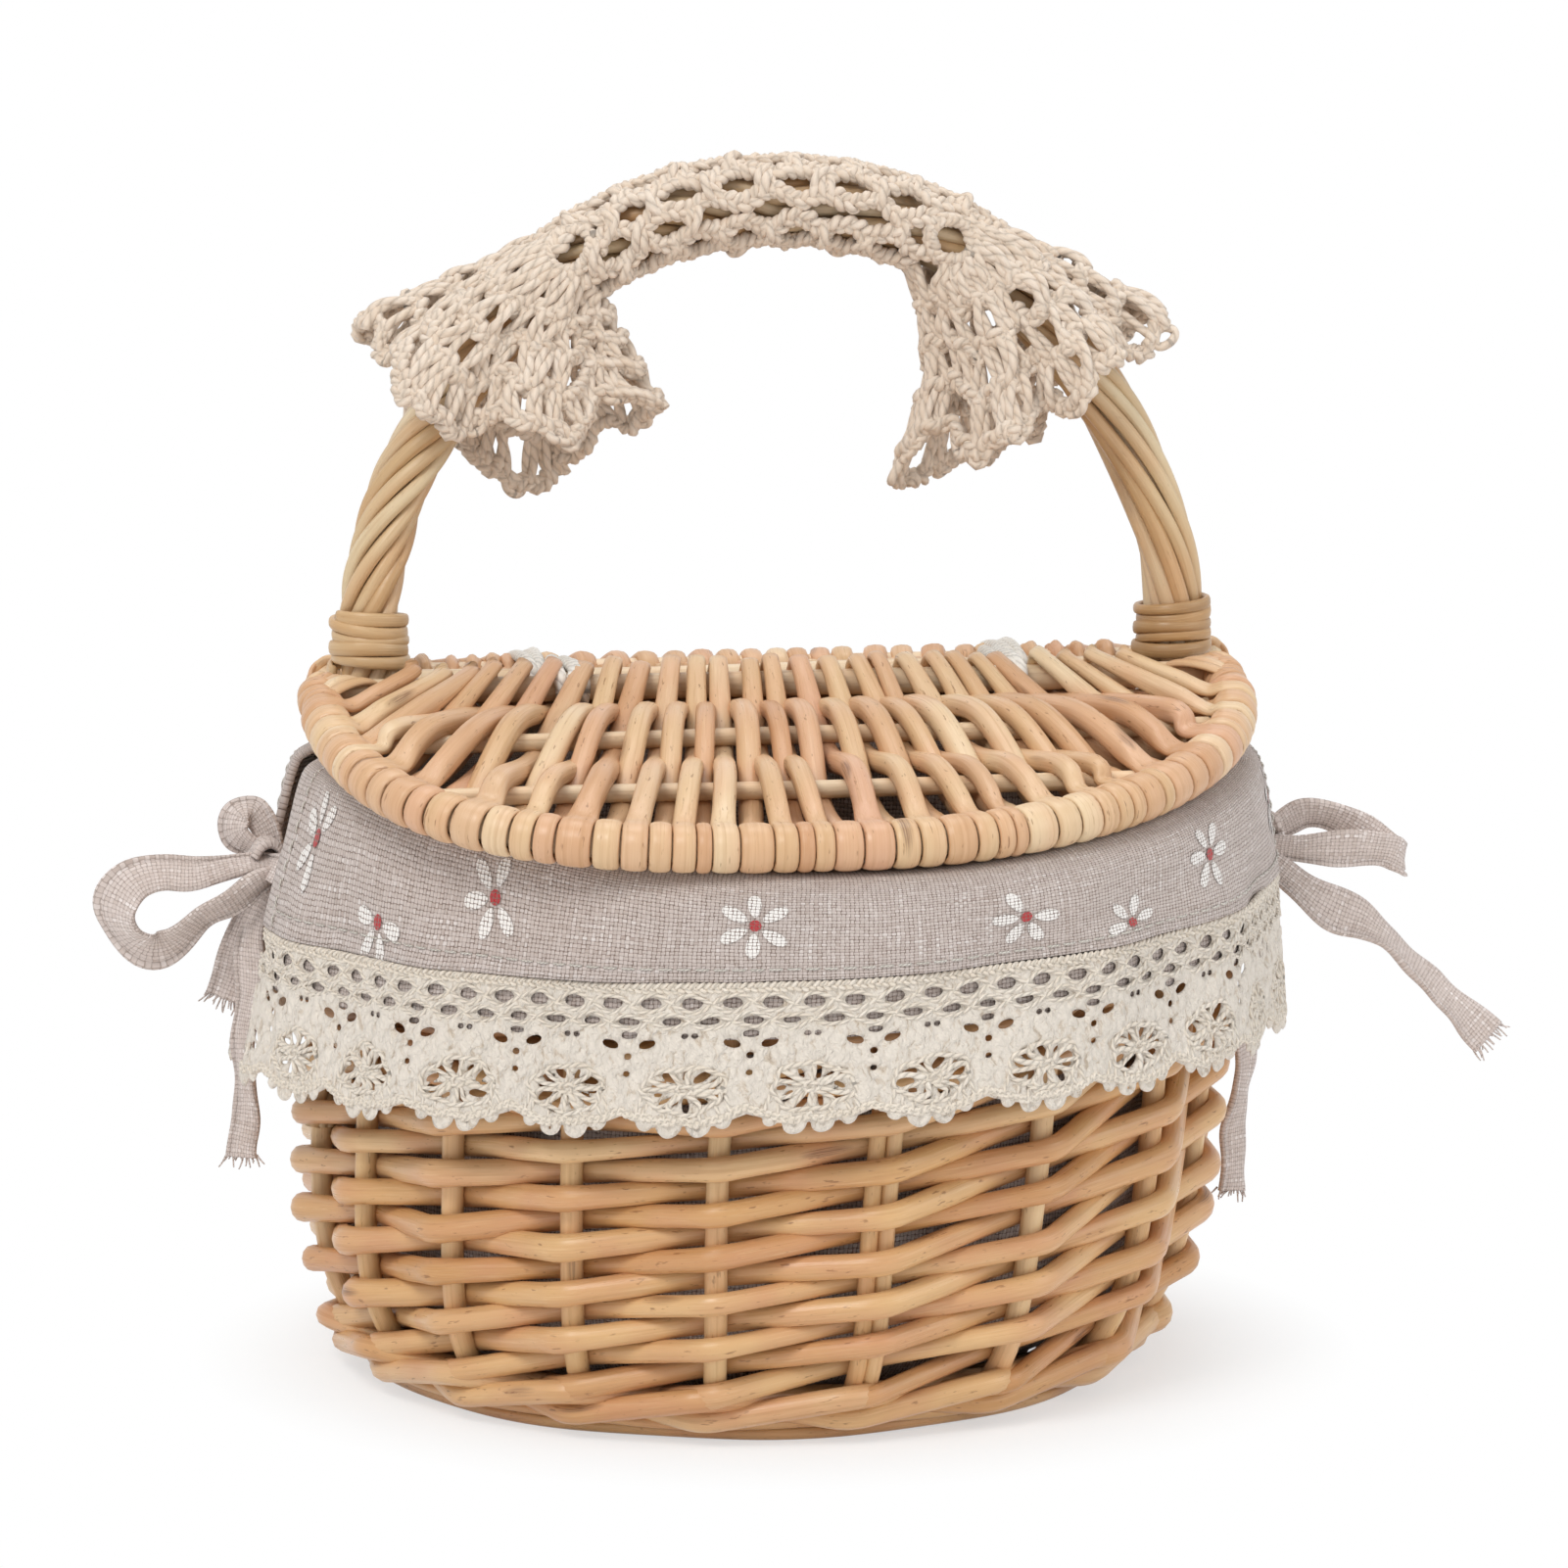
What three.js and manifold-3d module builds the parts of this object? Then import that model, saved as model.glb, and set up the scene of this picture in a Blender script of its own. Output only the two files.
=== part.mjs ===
// Willow picnic hamper: a round bowl of woven rods with a fixed handle bow, two hinged lids,
// a linen liner with a lace-edged cuff tied at both handle feet, and a crocheted handle cover.
// Millimetres. X runs along the handle, the front faces -Y, Z is up, and Z = 0 is the table.
import * as THREE from 'three';
import Module from 'manifold-3d';

const wasm = await Module();
wasm.setup();

// Basket bowl
const STAKE_LINE = 112.7; // half width of the ring of stakes at the rim, along X
const PLAN_RATIO = 1.05; // depth over width of the bowl
const TUCK_HEIGHT = 15; // height over which the stakes' tuck at the table fades
const STAKE_COUNT = 18;
const STAKE_DRIFT = 0.105; // radians that the stakes at front and rear stand out of even spacing
const STAKE_D = 5.6;
const BOWL_LEAN = 8; // the hand-made bowl leans: its foot stands this far to -X of its rim
const COURSE_T = 5.2; // thickness of the rods outside, and of those inside, the stakes
const COURSE_COUNT = 11; // rods that pass outside each stake, one above the other
const COURSE_LEAST = 0.8; // thickness where a rod passes inside the stake
const BORDER_D = 9;
const BORDER_MID_Z = 143.2; // mean height of the border's centre line
const BORDER_RISE = 8.5; // the border dips by this at front and rear and climbs at the handle
const CLEAR = 0.3; // gap that touching pieces keep

// Foot and base
const FOOT_TOP = 9;
const FOOT_W = 13; // width of the foot ring where it meets the table
const STAKE_SEAT = 2.7; // line of the stakes at the table from the ring's inner edge
const SOCKET_DEPTH = 5; // how deep each stake stands in the foot ring
const SOCKET_PAST = 1.6; // the cut for a socket is longer than the socket by this factor
const BASE_T = 6;
const STICK_D = 4.8;
const STICK_Z = 4.6;
const STICK_PITCH = 9;
const STICK_SETBACK = 5; // distance of the stick ends from the edge of the base

// Handle
const HANDLE_HALF = 104; // half span between the two feet
const HANDLE_ARCH = 107;
const HANDLE_D = 15.5;
const TWIST_GROOVE = 1.1;
const TWIST_RODS = 6;
const TWIST_TURNS = 1.6;
const CORE_D = 7.4;
const CORE_END_Z = 60; // lower ends of the bow, pushed down between the rods
const BAR_LIFT = 22.3; // hinge bar above the border's high points
const BAR_D = 6.8;
const ARCH_LIFT = 14; // where the bow starts to curve, above the hinge bar
const SLEEVE_DROP = 8; // twisted rods reach this far below the hinge bar

// Bindings of flat skein at the handle feet
const SKEIN_W = 2.6;
const SKEIN_T = 1.2;
const SKEIN_PITCH = 3.2;
const SKEIN_TURNS = 4;
const SKEIN_LIFT = 4.5; // first turn above the hinge bar

// Lids
const HINGE_Y = 17;
const LID_SIDE_OVER = 2.8; // hoop centre line beyond the stake ring at the sides
const LID_FRONT_OVER = 2.5; // and at the front
const LID_SHIFT = 3.5; // each lid sits this far towards its fuller corner
const LID_CORNER = 3; // power of the hoop's oval at that corner; at the other it is an ellipse
const LID_REST_GAP = 1.3; // hoop above the cuff when shut
const HOOP_D = 7;
const HOOP_WRAP = 1.7; // rod ends folded round the hoop
const BACK_D = 6.8;
const BACK_WRAP = 1.4;
const RIB_D = 4.4;
const RIB_AT = [36, 71]; // distance of the ribs from the hinge line
const SLAT_W = 6.4;
const SLAT_T = 3.6;
const SLAT_COUNT = 19;
const SLAT_SPREAD = 70; // degrees to either side over which the rods fan out along the hoop
const BACK_INSET = 17; // first and last rod from the lid's corner, along the back bar

// Cord hinge loops
const LOOP_D = 3;
const LOOP_X = 56;
const LOOP_STEP = 6; // rear loops sit this much further out

// Linen liner and lace
const CLOTH_T = 1.4;
const LINER_GAP = 0.7;
const FLOOR_Z = 7.4;
const FLOOR_HALF = 77; // half width of the bag's floor, along X
const FLOOR_EDGE = 4; // floor's edge from the foot ring
const CUFF_OVER = 0.7; // cloth above the border
const CUFF_OUT = 1.1; // cloth outside the rods
const CUFF_FLARE = 2.8;
const CUFF_INNER_DROP = 8.6; // cuff's inner edge below the border's centre line
const SIDE_FLARE = 4; // cuff and lace stand out this much more beside the handle feet
const SEAM_Z = 119.3;
const SEAM_DIP = 1; // seam is this much lower at the front than its mean height
const SEAM_TILT = 4.8; // and this much higher at the right handle foot, lower at the left
const FOLD_DEPTH = 1.8;
const FOLD_COUNT = 14;
const SLIT_HALF = 11; // half of the opening between the cuff's panels at each handle foot
const LACE_T = 1.2;
const LACE_DROP = 37.5;
const LACE_FLARE = 4.6;
const LACE_BOW = 1.5; // lace is this much deeper beside the handle feet than its mean depth
const SCALLOP_DEPTH = 3.2;
const SCALLOP_COUNT = 28;

// Fabric ties
const KNOT_X = 6;
const KNOT_Y = 10.4;
const KNOT_Z = 6.5;
const KNOT_HEIGHT = 129;
const TIE_W = 10;
const TIE_T = 1.4;
const TIE_GAP = 0.3; // ends of the strips from the knot
const LEFT_LOOP_L = 41;
const LEFT_LOOP_H = 26;
const LEFT_LOOP_SWAY = 6;
const BACK_LOOP_L = 18;
const BACK_LOOP_H = 12;
const BACK_LOOP_SWAY = 8;
const RIGHT_LOOP_L = 34;
const RIGHT_LOOP_H = 16;
const RIGHT_LOOP_SWAY = 6;
const LEFT_TAIL_L = 66;
const LEFT_SHORT_L = 24;
const RIGHT_TAIL_L = 40;
const RIGHT_SHORT_L = 86;
const TAIL_SHIFT = 5.4; // tails leave the knot this far to the front or the rear
const TAIL_REACH = 4; // how far a hanging tail stands out from the basket
const SHORT_REACH = 6;
const SPRUNG_REACH = 64; // reach and sway of the tail that springs out to the right
const SPRUNG_SWAY = 4;

// Crochet cover
const COVER_GAP = 0.7; // cover's inside from the twisted rods
const COVER_T = 2.6;
const COVER_SPAN = 57; // degrees of the bow to either side of its top
const FLARE_SPAN = 28; // of which this much is flared
const FLARE_HALF = 36.5; // half width of the flared end across the bow, in the bow's plane
const FLARE_SAG = 9.5; // flared end's middle hangs this far inside the bow
const FLARE_DEPTH = 20; // half depth of the flared end, front to rear
const RUFFLE_COUNT = 7;
const RUFFLE_DEPTH = 2.4;

const TAU = Math.PI * 2;
const V = (x, y, z) => new THREE.Vector3(x, y, z);
const FOOT_INNER = FLOOR_HALF + FLOOR_EDGE;
const FOOT_TREAD = FOOT_INNER + FOOT_W;
const FOOT_TUCK = STAKE_LINE - FOOT_INNER - STAKE_SEAT;
const rimEndZ = BORDER_MID_Z + BORDER_RISE;
const COURSE_IN = STAKE_D / 2 + CLEAR;
const COURSE_OUT = COURSE_IN + COURSE_T;
const BAR_Z = BORDER_MID_Z + BORDER_RISE + BAR_LIFT;
const ARCH_Z = BAR_Z + ARCH_LIFT;
const WALL_STEPS = STAKE_COUNT * 2;

const hamper = new THREE.Group();
hamper.name = 'picnic_hamper';

const COLOURS = {
  willow: 0xd9a868,
  peeled: 0xe8c99b,
  stake: 0xe2bd86,
  linen: 0xc8bcb0,
  lace: 0xeee3cf,
  crochet: 0xe9dcc3,
  cord: 0xf3efe6,
};

// Helpers

// A closed body from equal rings of points, capped at both ends or closed on itself.
// A ring may hold one point twice running; the faces with no area there are left out.
function loft(rings, closed = false) {
  const n = rings[0].length;
  const count = rings.length;
  const pos = [];
  const numbers = new Map();
  const index = rings.map((ring) => ring.map((p) => {
    if (!numbers.has(p)) {
      numbers.set(p, pos.length / 3);
      pos.push(p.x, p.y, p.z);
    }
    return numbers.get(p);
  }));
  const tri = [];
  const face = (a, b, c) => {
    if (a !== b && b !== c && c !== a) tri.push(a, b, c);
  };
  const spans = closed ? count : count - 1;
  for (let i = 0; i < spans; i++) {
    const a = index[i];
    const b = index[(i + 1) % count];
    for (let j = 0; j < n; j++) {
      const k = (j + 1) % n;
      face(a[j], a[k], b[k]);
      face(a[j], b[k], b[j]);
    }
  }
  if (!closed) {
    const first = index[0];
    const last = index[count - 1];
    for (let lo = 0, hi = n - 1; hi - lo >= 2; lo++, hi--) {
      face(first[lo], first[hi], first[lo + 1]);
      face(last[lo], last[lo + 1], last[hi]);
      if (hi - lo >= 3) {
        face(first[lo + 1], first[hi], first[hi - 1]);
        face(last[lo + 1], last[hi - 1], last[hi]);
      }
    }
  }
  let volume = 0;
  for (let t = 0; t < tri.length; t += 3) {
    const [p, q, r] = [0, 1, 2].map((c) => V().fromArray(pos, tri[t + c] * 3));
    volume += p.dot(q.cross(r)) / 6;
  }
  if (volume < 0) {
    for (let t = 0; t < tri.length; t += 3) {
      [tri[t + 1], tri[t + 2]] = [tri[t + 2], tri[t + 1]];
    }
  }
  const g = new THREE.BufferGeometry();
  g.setAttribute('position', new THREE.Float32BufferAttribute(pos, 3));
  g.setIndex(tri);
  return g;
}

// Frames along a path: two unit vectors across it at each point.
function across(path, up, closed = false) {
  const n = path.length;
  return path.map((p, i) => {
    const before = closed ? path[(i + n - 1) % n] : path[Math.max(i - 1, 0)];
    const after = closed ? path[(i + 1) % n] : path[Math.min(i + 1, n - 1)];
    const tangent = after.clone().sub(before).normalize();
    const side = up.clone().cross(tangent).normalize();
    const top = tangent.clone().cross(side);
    return { p, side, top };
  });
}

// A rod of round section along a path; the radius may change from point to point.
function rod(path, radius, sides, up, closed = false) {
  const size = (i) => (typeof radius === 'number' ? radius : radius[i]);
  const rings = across(path, up, closed).map(({ p, side, top }, i) => {
    const ring = [];
    for (let j = 0; j < sides; j++) {
      const a = (TAU * (j + 0.5)) / sides;
      const q = p.clone();
      q.addScaledVector(side, size(i) * Math.cos(a));
      q.addScaledVector(top, size(i) * Math.sin(a));
      ring.push(q);
    }
    return ring;
  });
  return loft(rings, closed);
}

// A flat strip along a path, its width lying along the given direction.
function strip(path, width, thick, along) {
  const rings = across(path, along).map(({ p, side, top }) =>
    [[-1, -1], [1, -1], [1, 1], [-1, 1]].map(([a, b]) => {
      const q = p.clone();
      q.addScaledVector(side, (a * thick) / 2);
      q.addScaledVector(top, (b * width) / 2);
      return q;
    }));
  return loft(rings);
}

function solid(g) {
  return new wasm.Manifold(new wasm.Mesh({
    numProp: 3,
    vertProperties: g.attributes.position.array,
    triVerts: new Uint32Array(g.index.array),
  }));
}

function geometry(made) {
  const mesh = made.getMesh();
  const g = new THREE.BufferGeometry();
  g.setAttribute('position', new THREE.Float32BufferAttribute(mesh.vertProperties, 3));
  g.setIndex(new THREE.Uint32BufferAttribute(mesh.triVerts, 1));
  return g;
}

// How far the bowl has leant over, to -X, at a height
const bowlLean = (z) =>
  BOWL_LEAN * Math.min(Math.max((rimEndZ - z) / (rimEndZ - FOOT_TOP), 0), 1);

function add(name, g, colour, lean = () => 0) {
  const shape = g.index ? g.toNonIndexed() : g;
  const at = shape.attributes.position;
  for (let i = 0; i < at.count; i++) at.setX(i, at.getX(i) - lean(at.getZ(i)));
  shape.computeVertexNormals();
  const material = new THREE.MeshStandardMaterial({ color: COLOURS[colour], roughness: 0.8 });
  const mesh = new THREE.Mesh(shape, material);
  mesh.name = name;
  hamper.add(mesh);
}

const range = (n) => Array.from({ length: n }, (_, i) => i);
const mix = (a, b, f) => a + (b - a) * f;
const ease = (f) => f * f * (3 - 2 * f);

// Bowl shape

// A stake stands on every second step round the wall
const wallAngle = (i) => {
  const even = (TAU * i) / WALL_STEPS;
  return even - STAKE_DRIFT * Math.sin(even) ** 2;
};

const stakeHalf = (z) => STAKE_LINE - FOOT_TUCK * Math.exp(-z / TUCK_HEIGHT);
const borderZ = (angle) => BORDER_MID_Z + BORDER_RISE * Math.cos(2 * angle);
const plan = (angle, half, off, z) =>
  V((half + off) * Math.cos(angle), (half * PLAN_RATIO + off) * Math.sin(angle), z);
// An offset square to the sloping stakes, measured level
const level = (z) => Math.hypot(1, (FOOT_TUCK / TUCK_HEIGHT) * Math.exp(-z / TUCK_HEIGHT));
const onWall = (angle, z, off) => plan(angle, stakeHalf(z), off * level(z), z);
const courseTop = (angle) => borderZ(angle) - BORDER_D / 2 - CLEAR;

// Heights where the bowl's profile bends, shared by the stakes, both courses and the liner.
const bends = [0, 0.5, 1.4, 3.5].map((f) => FOOT_TOP + CLEAR + f * TUCK_HEIGHT);

// Rods outside the stakes: at a stake every second rod stands out, and between stakes all dip.
function outerCourse() {
  const dipOut = STAKE_D / 2;
  const dipIn = dipOut - 2 * COURSE_LEAST;
  const rings = range(WALL_STEPS).map((i) => {
    const angle = wallAngle(i);
    const atStake = i % 2 === 0;
    const height = (k) => mix(bends[0], courseTop(angle), k / (2 * COURSE_COUNT));
    const woven = range(2 * COURSE_COUNT + 1).map((k) =>
      onWall(angle, height(k), k % 2 ? COURSE_OUT : COURSE_IN + COURSE_LEAST));
    const dips = range(COURSE_COUNT + 1).map((k) => onWall(angle, height(2 * k), dipOut));
    const up = atStake ? woven : dips.flatMap((p) => [p, p]).slice(0, -1);
    const inner = atStake ? COURSE_IN : dipIn;
    const down = [...bends, courseTop(angle)].map((z) => onWall(angle, z, inner)).reverse();
    return [...up, ...down];
  });
  return loft(rings, true);
}

function innerCourse() {
  const rings = range(WALL_STEPS).map((i) => {
    const angle = wallAngle(i);
    const heights = [...bends, courseTop(angle)];
    const up = heights.map((z) => onWall(angle, z, -COURSE_IN));
    const down = heights.map((z) => onWall(angle, z, -COURSE_OUT)).reverse();
    return [...up, ...down];
  });
  return loft(rings, true);
}

add('weave_outer', outerCourse(), 'willow', bowlLean);
add('weave_inner', innerCourse(), 'willow', bowlLean);

// Stakes and border, in a front and a rear half

function stake(angle, radius) {
  const heights = [FOOT_TOP - SOCKET_DEPTH, ...bends, borderZ(angle)];
  const path = heights.map((z) => onWall(angle, z, 0));
  const along = V(-Math.sin(angle), Math.cos(angle), 0);
  return rod(path, radius, 5, along);
}

const stakeAngles = range(STAKE_COUNT).map((i) => wallAngle(2 * i));
const isFoot = (angle) => Math.abs(Math.sin(angle)) < 1e-6;

function cage(sign) {
  const end = Math.asin((CORE_D / 2 + BORDER_D / 2 + CLEAR) / STAKE_LINE);
  const steps = STAKE_COUNT;
  const path = range(steps + 1).map((i) => {
    const angle = sign * mix(end, Math.PI - end, i / steps);
    return onWall(angle, borderZ(angle), 0);
  });
  let made = solid(rod(path, BORDER_D / 2, 6, V(0, 0, 1)));
  stakeAngles.forEach((angle) => {
    if (isFoot(angle) || Math.sin(angle) * sign < 0) return;
    made = made.add(solid(stake(angle, STAKE_D / 2)));
  });
  return geometry(made);
}

add('stakes_front', cage(-1), 'stake', bowlLean);
add('stakes_rear', cage(1), 'stake', bowlLean);

// Foot ring with the stakes' sockets, and the woven base with its cross of sticks

function footRing() {
  const top = stakeHalf(FOOT_TOP) + COURSE_OUT * level(FOOT_TOP) - CLEAR;
  const mid = mix(FOOT_TREAD, top, 0.7);
  const section = [
    [FOOT_INNER, 0],
    [FOOT_TREAD, 0],
    [mid, FOOT_TOP / 2],
    [top, FOOT_TOP],
    [FOOT_INNER, FOOT_TOP],
  ];
  const rings = range(WALL_STEPS).map((i) => {
    const angle = wallAngle(i);
    return section.map(([half, z]) => plan(angle, half, 0, z));
  });
  let made = solid(loft(rings, true));
  stakeAngles.forEach((angle) => {
    if (isFoot(angle)) return;
    const low = onWall(angle, FOOT_TOP - SOCKET_DEPTH - CLEAR, 0);
    const path = [low, onWall(angle, bends[0], 0).sub(low).multiplyScalar(SOCKET_PAST).add(low)];
    const along = V(-Math.sin(angle), Math.cos(angle), 0);
    made = made.subtract(solid(rod(path, STAKE_D / 2 + CLEAR, 5, along)));
  });
  return geometry(made);
}

function baseStick(alongX, shift, radius, longer) {
  const half = (FOOT_INNER - CLEAR) * (alongX ? 1 : PLAN_RATIO) - STICK_SETBACK + longer;
  const at = (s) => (alongX ? V(s, shift, STICK_Z) : V(shift, s, STICK_Z));
  return solid(rod([at(-half), at(half)], radius, 6, V(0, 0, 1)));
}

function slath(radius, longer) {
  let made = null;
  [true, false].forEach((alongX) => {
    [-STICK_PITCH, 0, STICK_PITCH].forEach((shift) => {
      const stick = baseStick(alongX, shift, radius, longer);
      made = made ? made.add(stick) : stick;
    });
  });
  return made;
}

function baseWeave() {
  const rings = [0, BASE_T].map((z) =>
    range(WALL_STEPS).map((i) => plan(wallAngle(i), FOOT_INNER - CLEAR, 0, z)));
  return geometry(solid(loft(rings)).subtract(slath(STICK_D / 2 + CLEAR, CLEAR)));
}

add('foot_wale', footRing(), 'peeled', bowlLean);
add('base_weave', baseWeave(), 'willow', bowlLean);
add('base_sticks', geometry(slath(STICK_D / 2, 0)), 'peeled', bowlLean);

// Handle bow: a core rod, and the rods twisted round it

const archPoint = (t) => V(HANDLE_HALF * Math.cos(t), 0, ARCH_Z + HANDLE_ARCH * Math.sin(t));

function bowPath(lowest, archSteps) {
  const right = lowest.map(([x, z]) => V(x, 0, z));
  const left = lowest.map(([x, z]) => V(-x, 0, z)).reverse();
  const arch = range(archSteps + 1).map((i) => archPoint((Math.PI * i) / archSteps));
  return [...right, ...arch, ...left];
}

const LEG_Z = BAR_Z - BAR_D / 2 - CLEAR; // the legs stand upright from here to the bow
const legSlope = (z) => {
  const f = Math.min(Math.max((z - rimEndZ) / (LEG_Z - rimEndZ), 0), 1);
  return mix(stakeHalf(rimEndZ), HANDLE_HALF, f);
};

function handleCore() {
  const inWeave = [CORE_END_Z, mix(CORE_END_Z, rimEndZ, 0.5), rimEndZ];
  const lowest = [
    ...inWeave.map((z) => [stakeHalf(z), z]),
    [HANDLE_HALF, LEG_Z],
  ];
  const path = bowPath(lowest, 20);
  const radii = path.map((p) => (p.z <= rimEndZ + 1e-6 ? STAKE_D : CORE_D) / 2);
  return rod(path, radii, 6, V(0, 1, 0));
}

function handleTwist() {
  const lowest = [[legSlope(BAR_Z - SLEEVE_DROP), BAR_Z - SLEEVE_DROP], [HANDLE_HALF, LEG_Z]];
  const frames = across(bowPath(lowest, 18), V(0, 1, 0));
  const count = TWIST_RODS * 2;
  const bore = (CORE_D / 2 + CLEAR) / Math.cos(Math.PI / count);
  const ring = (radiusAt) => ({ p, side, top }, i) => {
    const turn = (TAU * TWIST_TURNS * i) / (frames.length - 1);
    return range(count).map((j) => {
      const a = (TAU * j) / count + turn;
      const q = p.clone();
      q.addScaledVector(side, radiusAt(j) * Math.cos(a));
      q.addScaledVector(top, radiusAt(j) * Math.sin(a));
      return q;
    });
  };
  const outside = frames.map(ring((j) => HANDLE_D / 2 - (j % 2 ? TWIST_GROOVE : 0)));
  const inside = frames.map(ring(() => bore)).reverse();
  return loft([...outside, ...inside], true);
}

add('handle_core', handleCore(), 'peeled', bowlLean);
add('handle_twist', handleTwist(), 'stake');

const barHalf = HANDLE_HALF - HANDLE_D / 2 - CLEAR;
const bar = [V(-barHalf, 0, BAR_Z), V(barHalf, 0, BAR_Z)];
add('hinge_bar', rod(bar, BAR_D / 2, 8, V(0, 0, 1)), 'peeled');

// Bindings: one flat skein wound round each handle foot in an unbroken spiral

function binding(sign) {
  const steps = 16;
  const total = steps * SKEIN_TURNS;
  const radius = HANDLE_D / 2 + CLEAR + SKEIN_T / 2;
  const lowest = BAR_Z + SKEIN_LIFT;
  const section = range(5).map((j) => {
    const a = (TAU * j) / 5;
    return [(SKEIN_T / 2) * Math.cos(a), (SKEIN_W / 2) * Math.sin(a)];
  });
  const rings = range(total + 1).map((i) => {
    const a = (TAU * i) / steps;
    const rise = lowest + (SKEIN_PITCH * i) / steps;
    const leg = rise <= ARCH_Z ? HANDLE_HALF : archPoint(Math.asin((rise - ARCH_Z) / HANDLE_ARCH)).x;
    return section.map(([out, along]) =>
      V(sign * (leg + (radius + out) * Math.cos(a)), (radius + out) * Math.sin(a), rise + along));
  });
  let least = Infinity;
  rings.forEach((ring, i) => {
    rings.slice(i + steps / 2).forEach((other) => {
      ring.forEach((p) => other.forEach((q) => {
        least = Math.min(least, p.distanceTo(q));
      }));
    });
  });
  console.log(`binding gap to itself ${least.toFixed(2)} mm`);
  return loft(rings);
}

add('binding_left', binding(-1), 'peeled');
add('binding_right', binding(1), 'peeled');

// Lids

const cuffTop = BORDER_D / 2 + CUFF_OVER + CLOTH_T;
const wrapR = HOOP_D / 2 + HOOP_WRAP;
const lidHalf = STAKE_LINE + LID_SIDE_OVER;
const lidReach = STAKE_LINE * PLAN_RATIO + LID_FRONT_OVER - HINGE_Y;
const lidDrop = BAR_Z - (borderZ(Math.PI / 2) + cuffTop + LID_REST_GAP + wrapR);
const lidDepth = Math.hypot(lidReach, lidDrop);
const lidSlope = Math.atan2(lidDrop, lidReach);

function lid(name, sign, loopX) {
  // x along the hinge, u down the lid from the hinge line, w square to the lid
  const place = (x, u, w) => V(
    x,
    sign * (HINGE_Y + u * Math.cos(lidSlope) + w * Math.sin(lidSlope)),
    BAR_Z - u * Math.sin(lidSlope) + w * Math.cos(lidSlope),
  );
  const flat = place(0, 0, 1).sub(place(0, 0, 0));
  const shift = sign * LID_SHIFT;
  const power = (way) => (way * sign > 0 ? LID_CORNER : 2);
  const hoopPoint = (t) => {
    const [c, s] = [Math.cos(t), Math.sin(t)];
    const e = 2 / power(c);
    return [shift + lidHalf * Math.sign(c) * Math.abs(c) ** e, lidDepth * Math.abs(s) ** e];
  };
  const hoopSteps = 18;
  const hoopPath = (past) => {
    const arc = range(hoopSteps + 1).map((i) => hoopPoint((Math.PI * i) / hoopSteps));
    const flatArc = [[shift + lidHalf, -past], ...arc, [shift - lidHalf, -past]];
    return flatArc.map(([x, u]) => place(x, u, 0));
  };
  const hoopEnd = BACK_D / 2;
  add(`${name}_hoop`, rod(hoopPath(hoopEnd), HOOP_D / 2, 6, flat), 'peeled');

  const backHalf = lidHalf - HOOP_D / 2 - CLEAR;
  const backPath = (half) => [place(shift - half, 0, 0), place(shift + half, 0, 0)];
  add(`${name}_back_bar`, rod(backPath(backHalf), BACK_D / 2, 8, flat), 'peeled');

  // A rib ends where the edge of its end meets the hoop's inner side
  const ribPath = (u, more) => {
    const inside = HOOP_D / 2 + 2 * CLEAR;
    const far = (u + RIB_D / 2) / (lidDepth - inside);
    const reach = (p) => (lidHalf - inside) * (1 - far ** p) ** (1 / p) + more;
    return [place(shift - reach(power(-1)), u, 0), place(shift + reach(power(1)), u, 0)];
  };
  RIB_AT.forEach((u, k) => {
    add(`${name}_rib_${k + 1}`, rod(ribPath(u, 0), RIB_D / 2, 8, flat), 'peeled');
  });

  // Woven rods: each passes over one rib and under the next, and folds round hoop and back bar
  let made = solid(rod(hoopPath(hoopEnd), wrapR, 6, flat));
  const wrapHalf = lidHalf - wrapR;
  made = made.add(solid(rod(backPath(wrapHalf), BACK_D / 2 + BACK_WRAP, 8, flat)));
  const lift = RIB_D / 2 + CLEAR * 1.5 + SLAT_T / 2;
  range(SLAT_COUNT).forEach((i) => {
    const f = i / (SLAT_COUNT - 1);
    const turn = THREE.MathUtils.degToRad(mix(90 - SLAT_SPREAD, 90 + SLAT_SPREAD, f));
    const [hx, hu] = hoopPoint(turn);
    const bx = shift + mix(lidHalf - BACK_INSET, BACK_INSET - lidHalf, f);
    const over = i % 2 ? 1 : -1;
    const stops = [[0, 0]];
    RIB_AT.forEach((u, k) => {
      if (u < hu - wrapR) stops.push([u, lift * over * (k % 2 ? -1 : 1)]);
    });
    stops.push([hu, 0]);
    const path = stops.map(([u, w]) => place(mix(bx, hx, u / hu), u, w));
    made = made.add(solid(strip(path, SLAT_W, SLAT_T, V(1, 0, 0))));
  });
  made = made.subtract(solid(rod(hoopPath(hoopEnd + 1), HOOP_D / 2 + CLEAR, 6, flat)));
  made = made.subtract(solid(rod(backPath(backHalf + CLEAR), BACK_D / 2 + CLEAR, 8, flat)));
  RIB_AT.forEach((u) => {
    made = made.subtract(solid(rod(ribPath(u, CLEAR), RIB_D / 2 + CLEAR, 8, flat)));
  });
  [-loopX, loopX].forEach((x) => {
    const half = LOOP_D / 2 + 2 * CLEAR;
    const notch = [place(x - half, 0, 0), place(x + half, 0, 0)];
    made = made.subtract(solid(rod(notch, BACK_D / 2 + LOOP_D + 3 * CLEAR, 10, flat)));
  });
  add(`${name}_weave`, geometry(made), 'willow');
}

const rearLoopX = LOOP_X + LOOP_STEP;
lid('front_lid', -1, LOOP_X);
lid('rear_lid', 1, rearLoopX);

// Cord loops that tie each lid's back bar to the hinge bar

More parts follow.
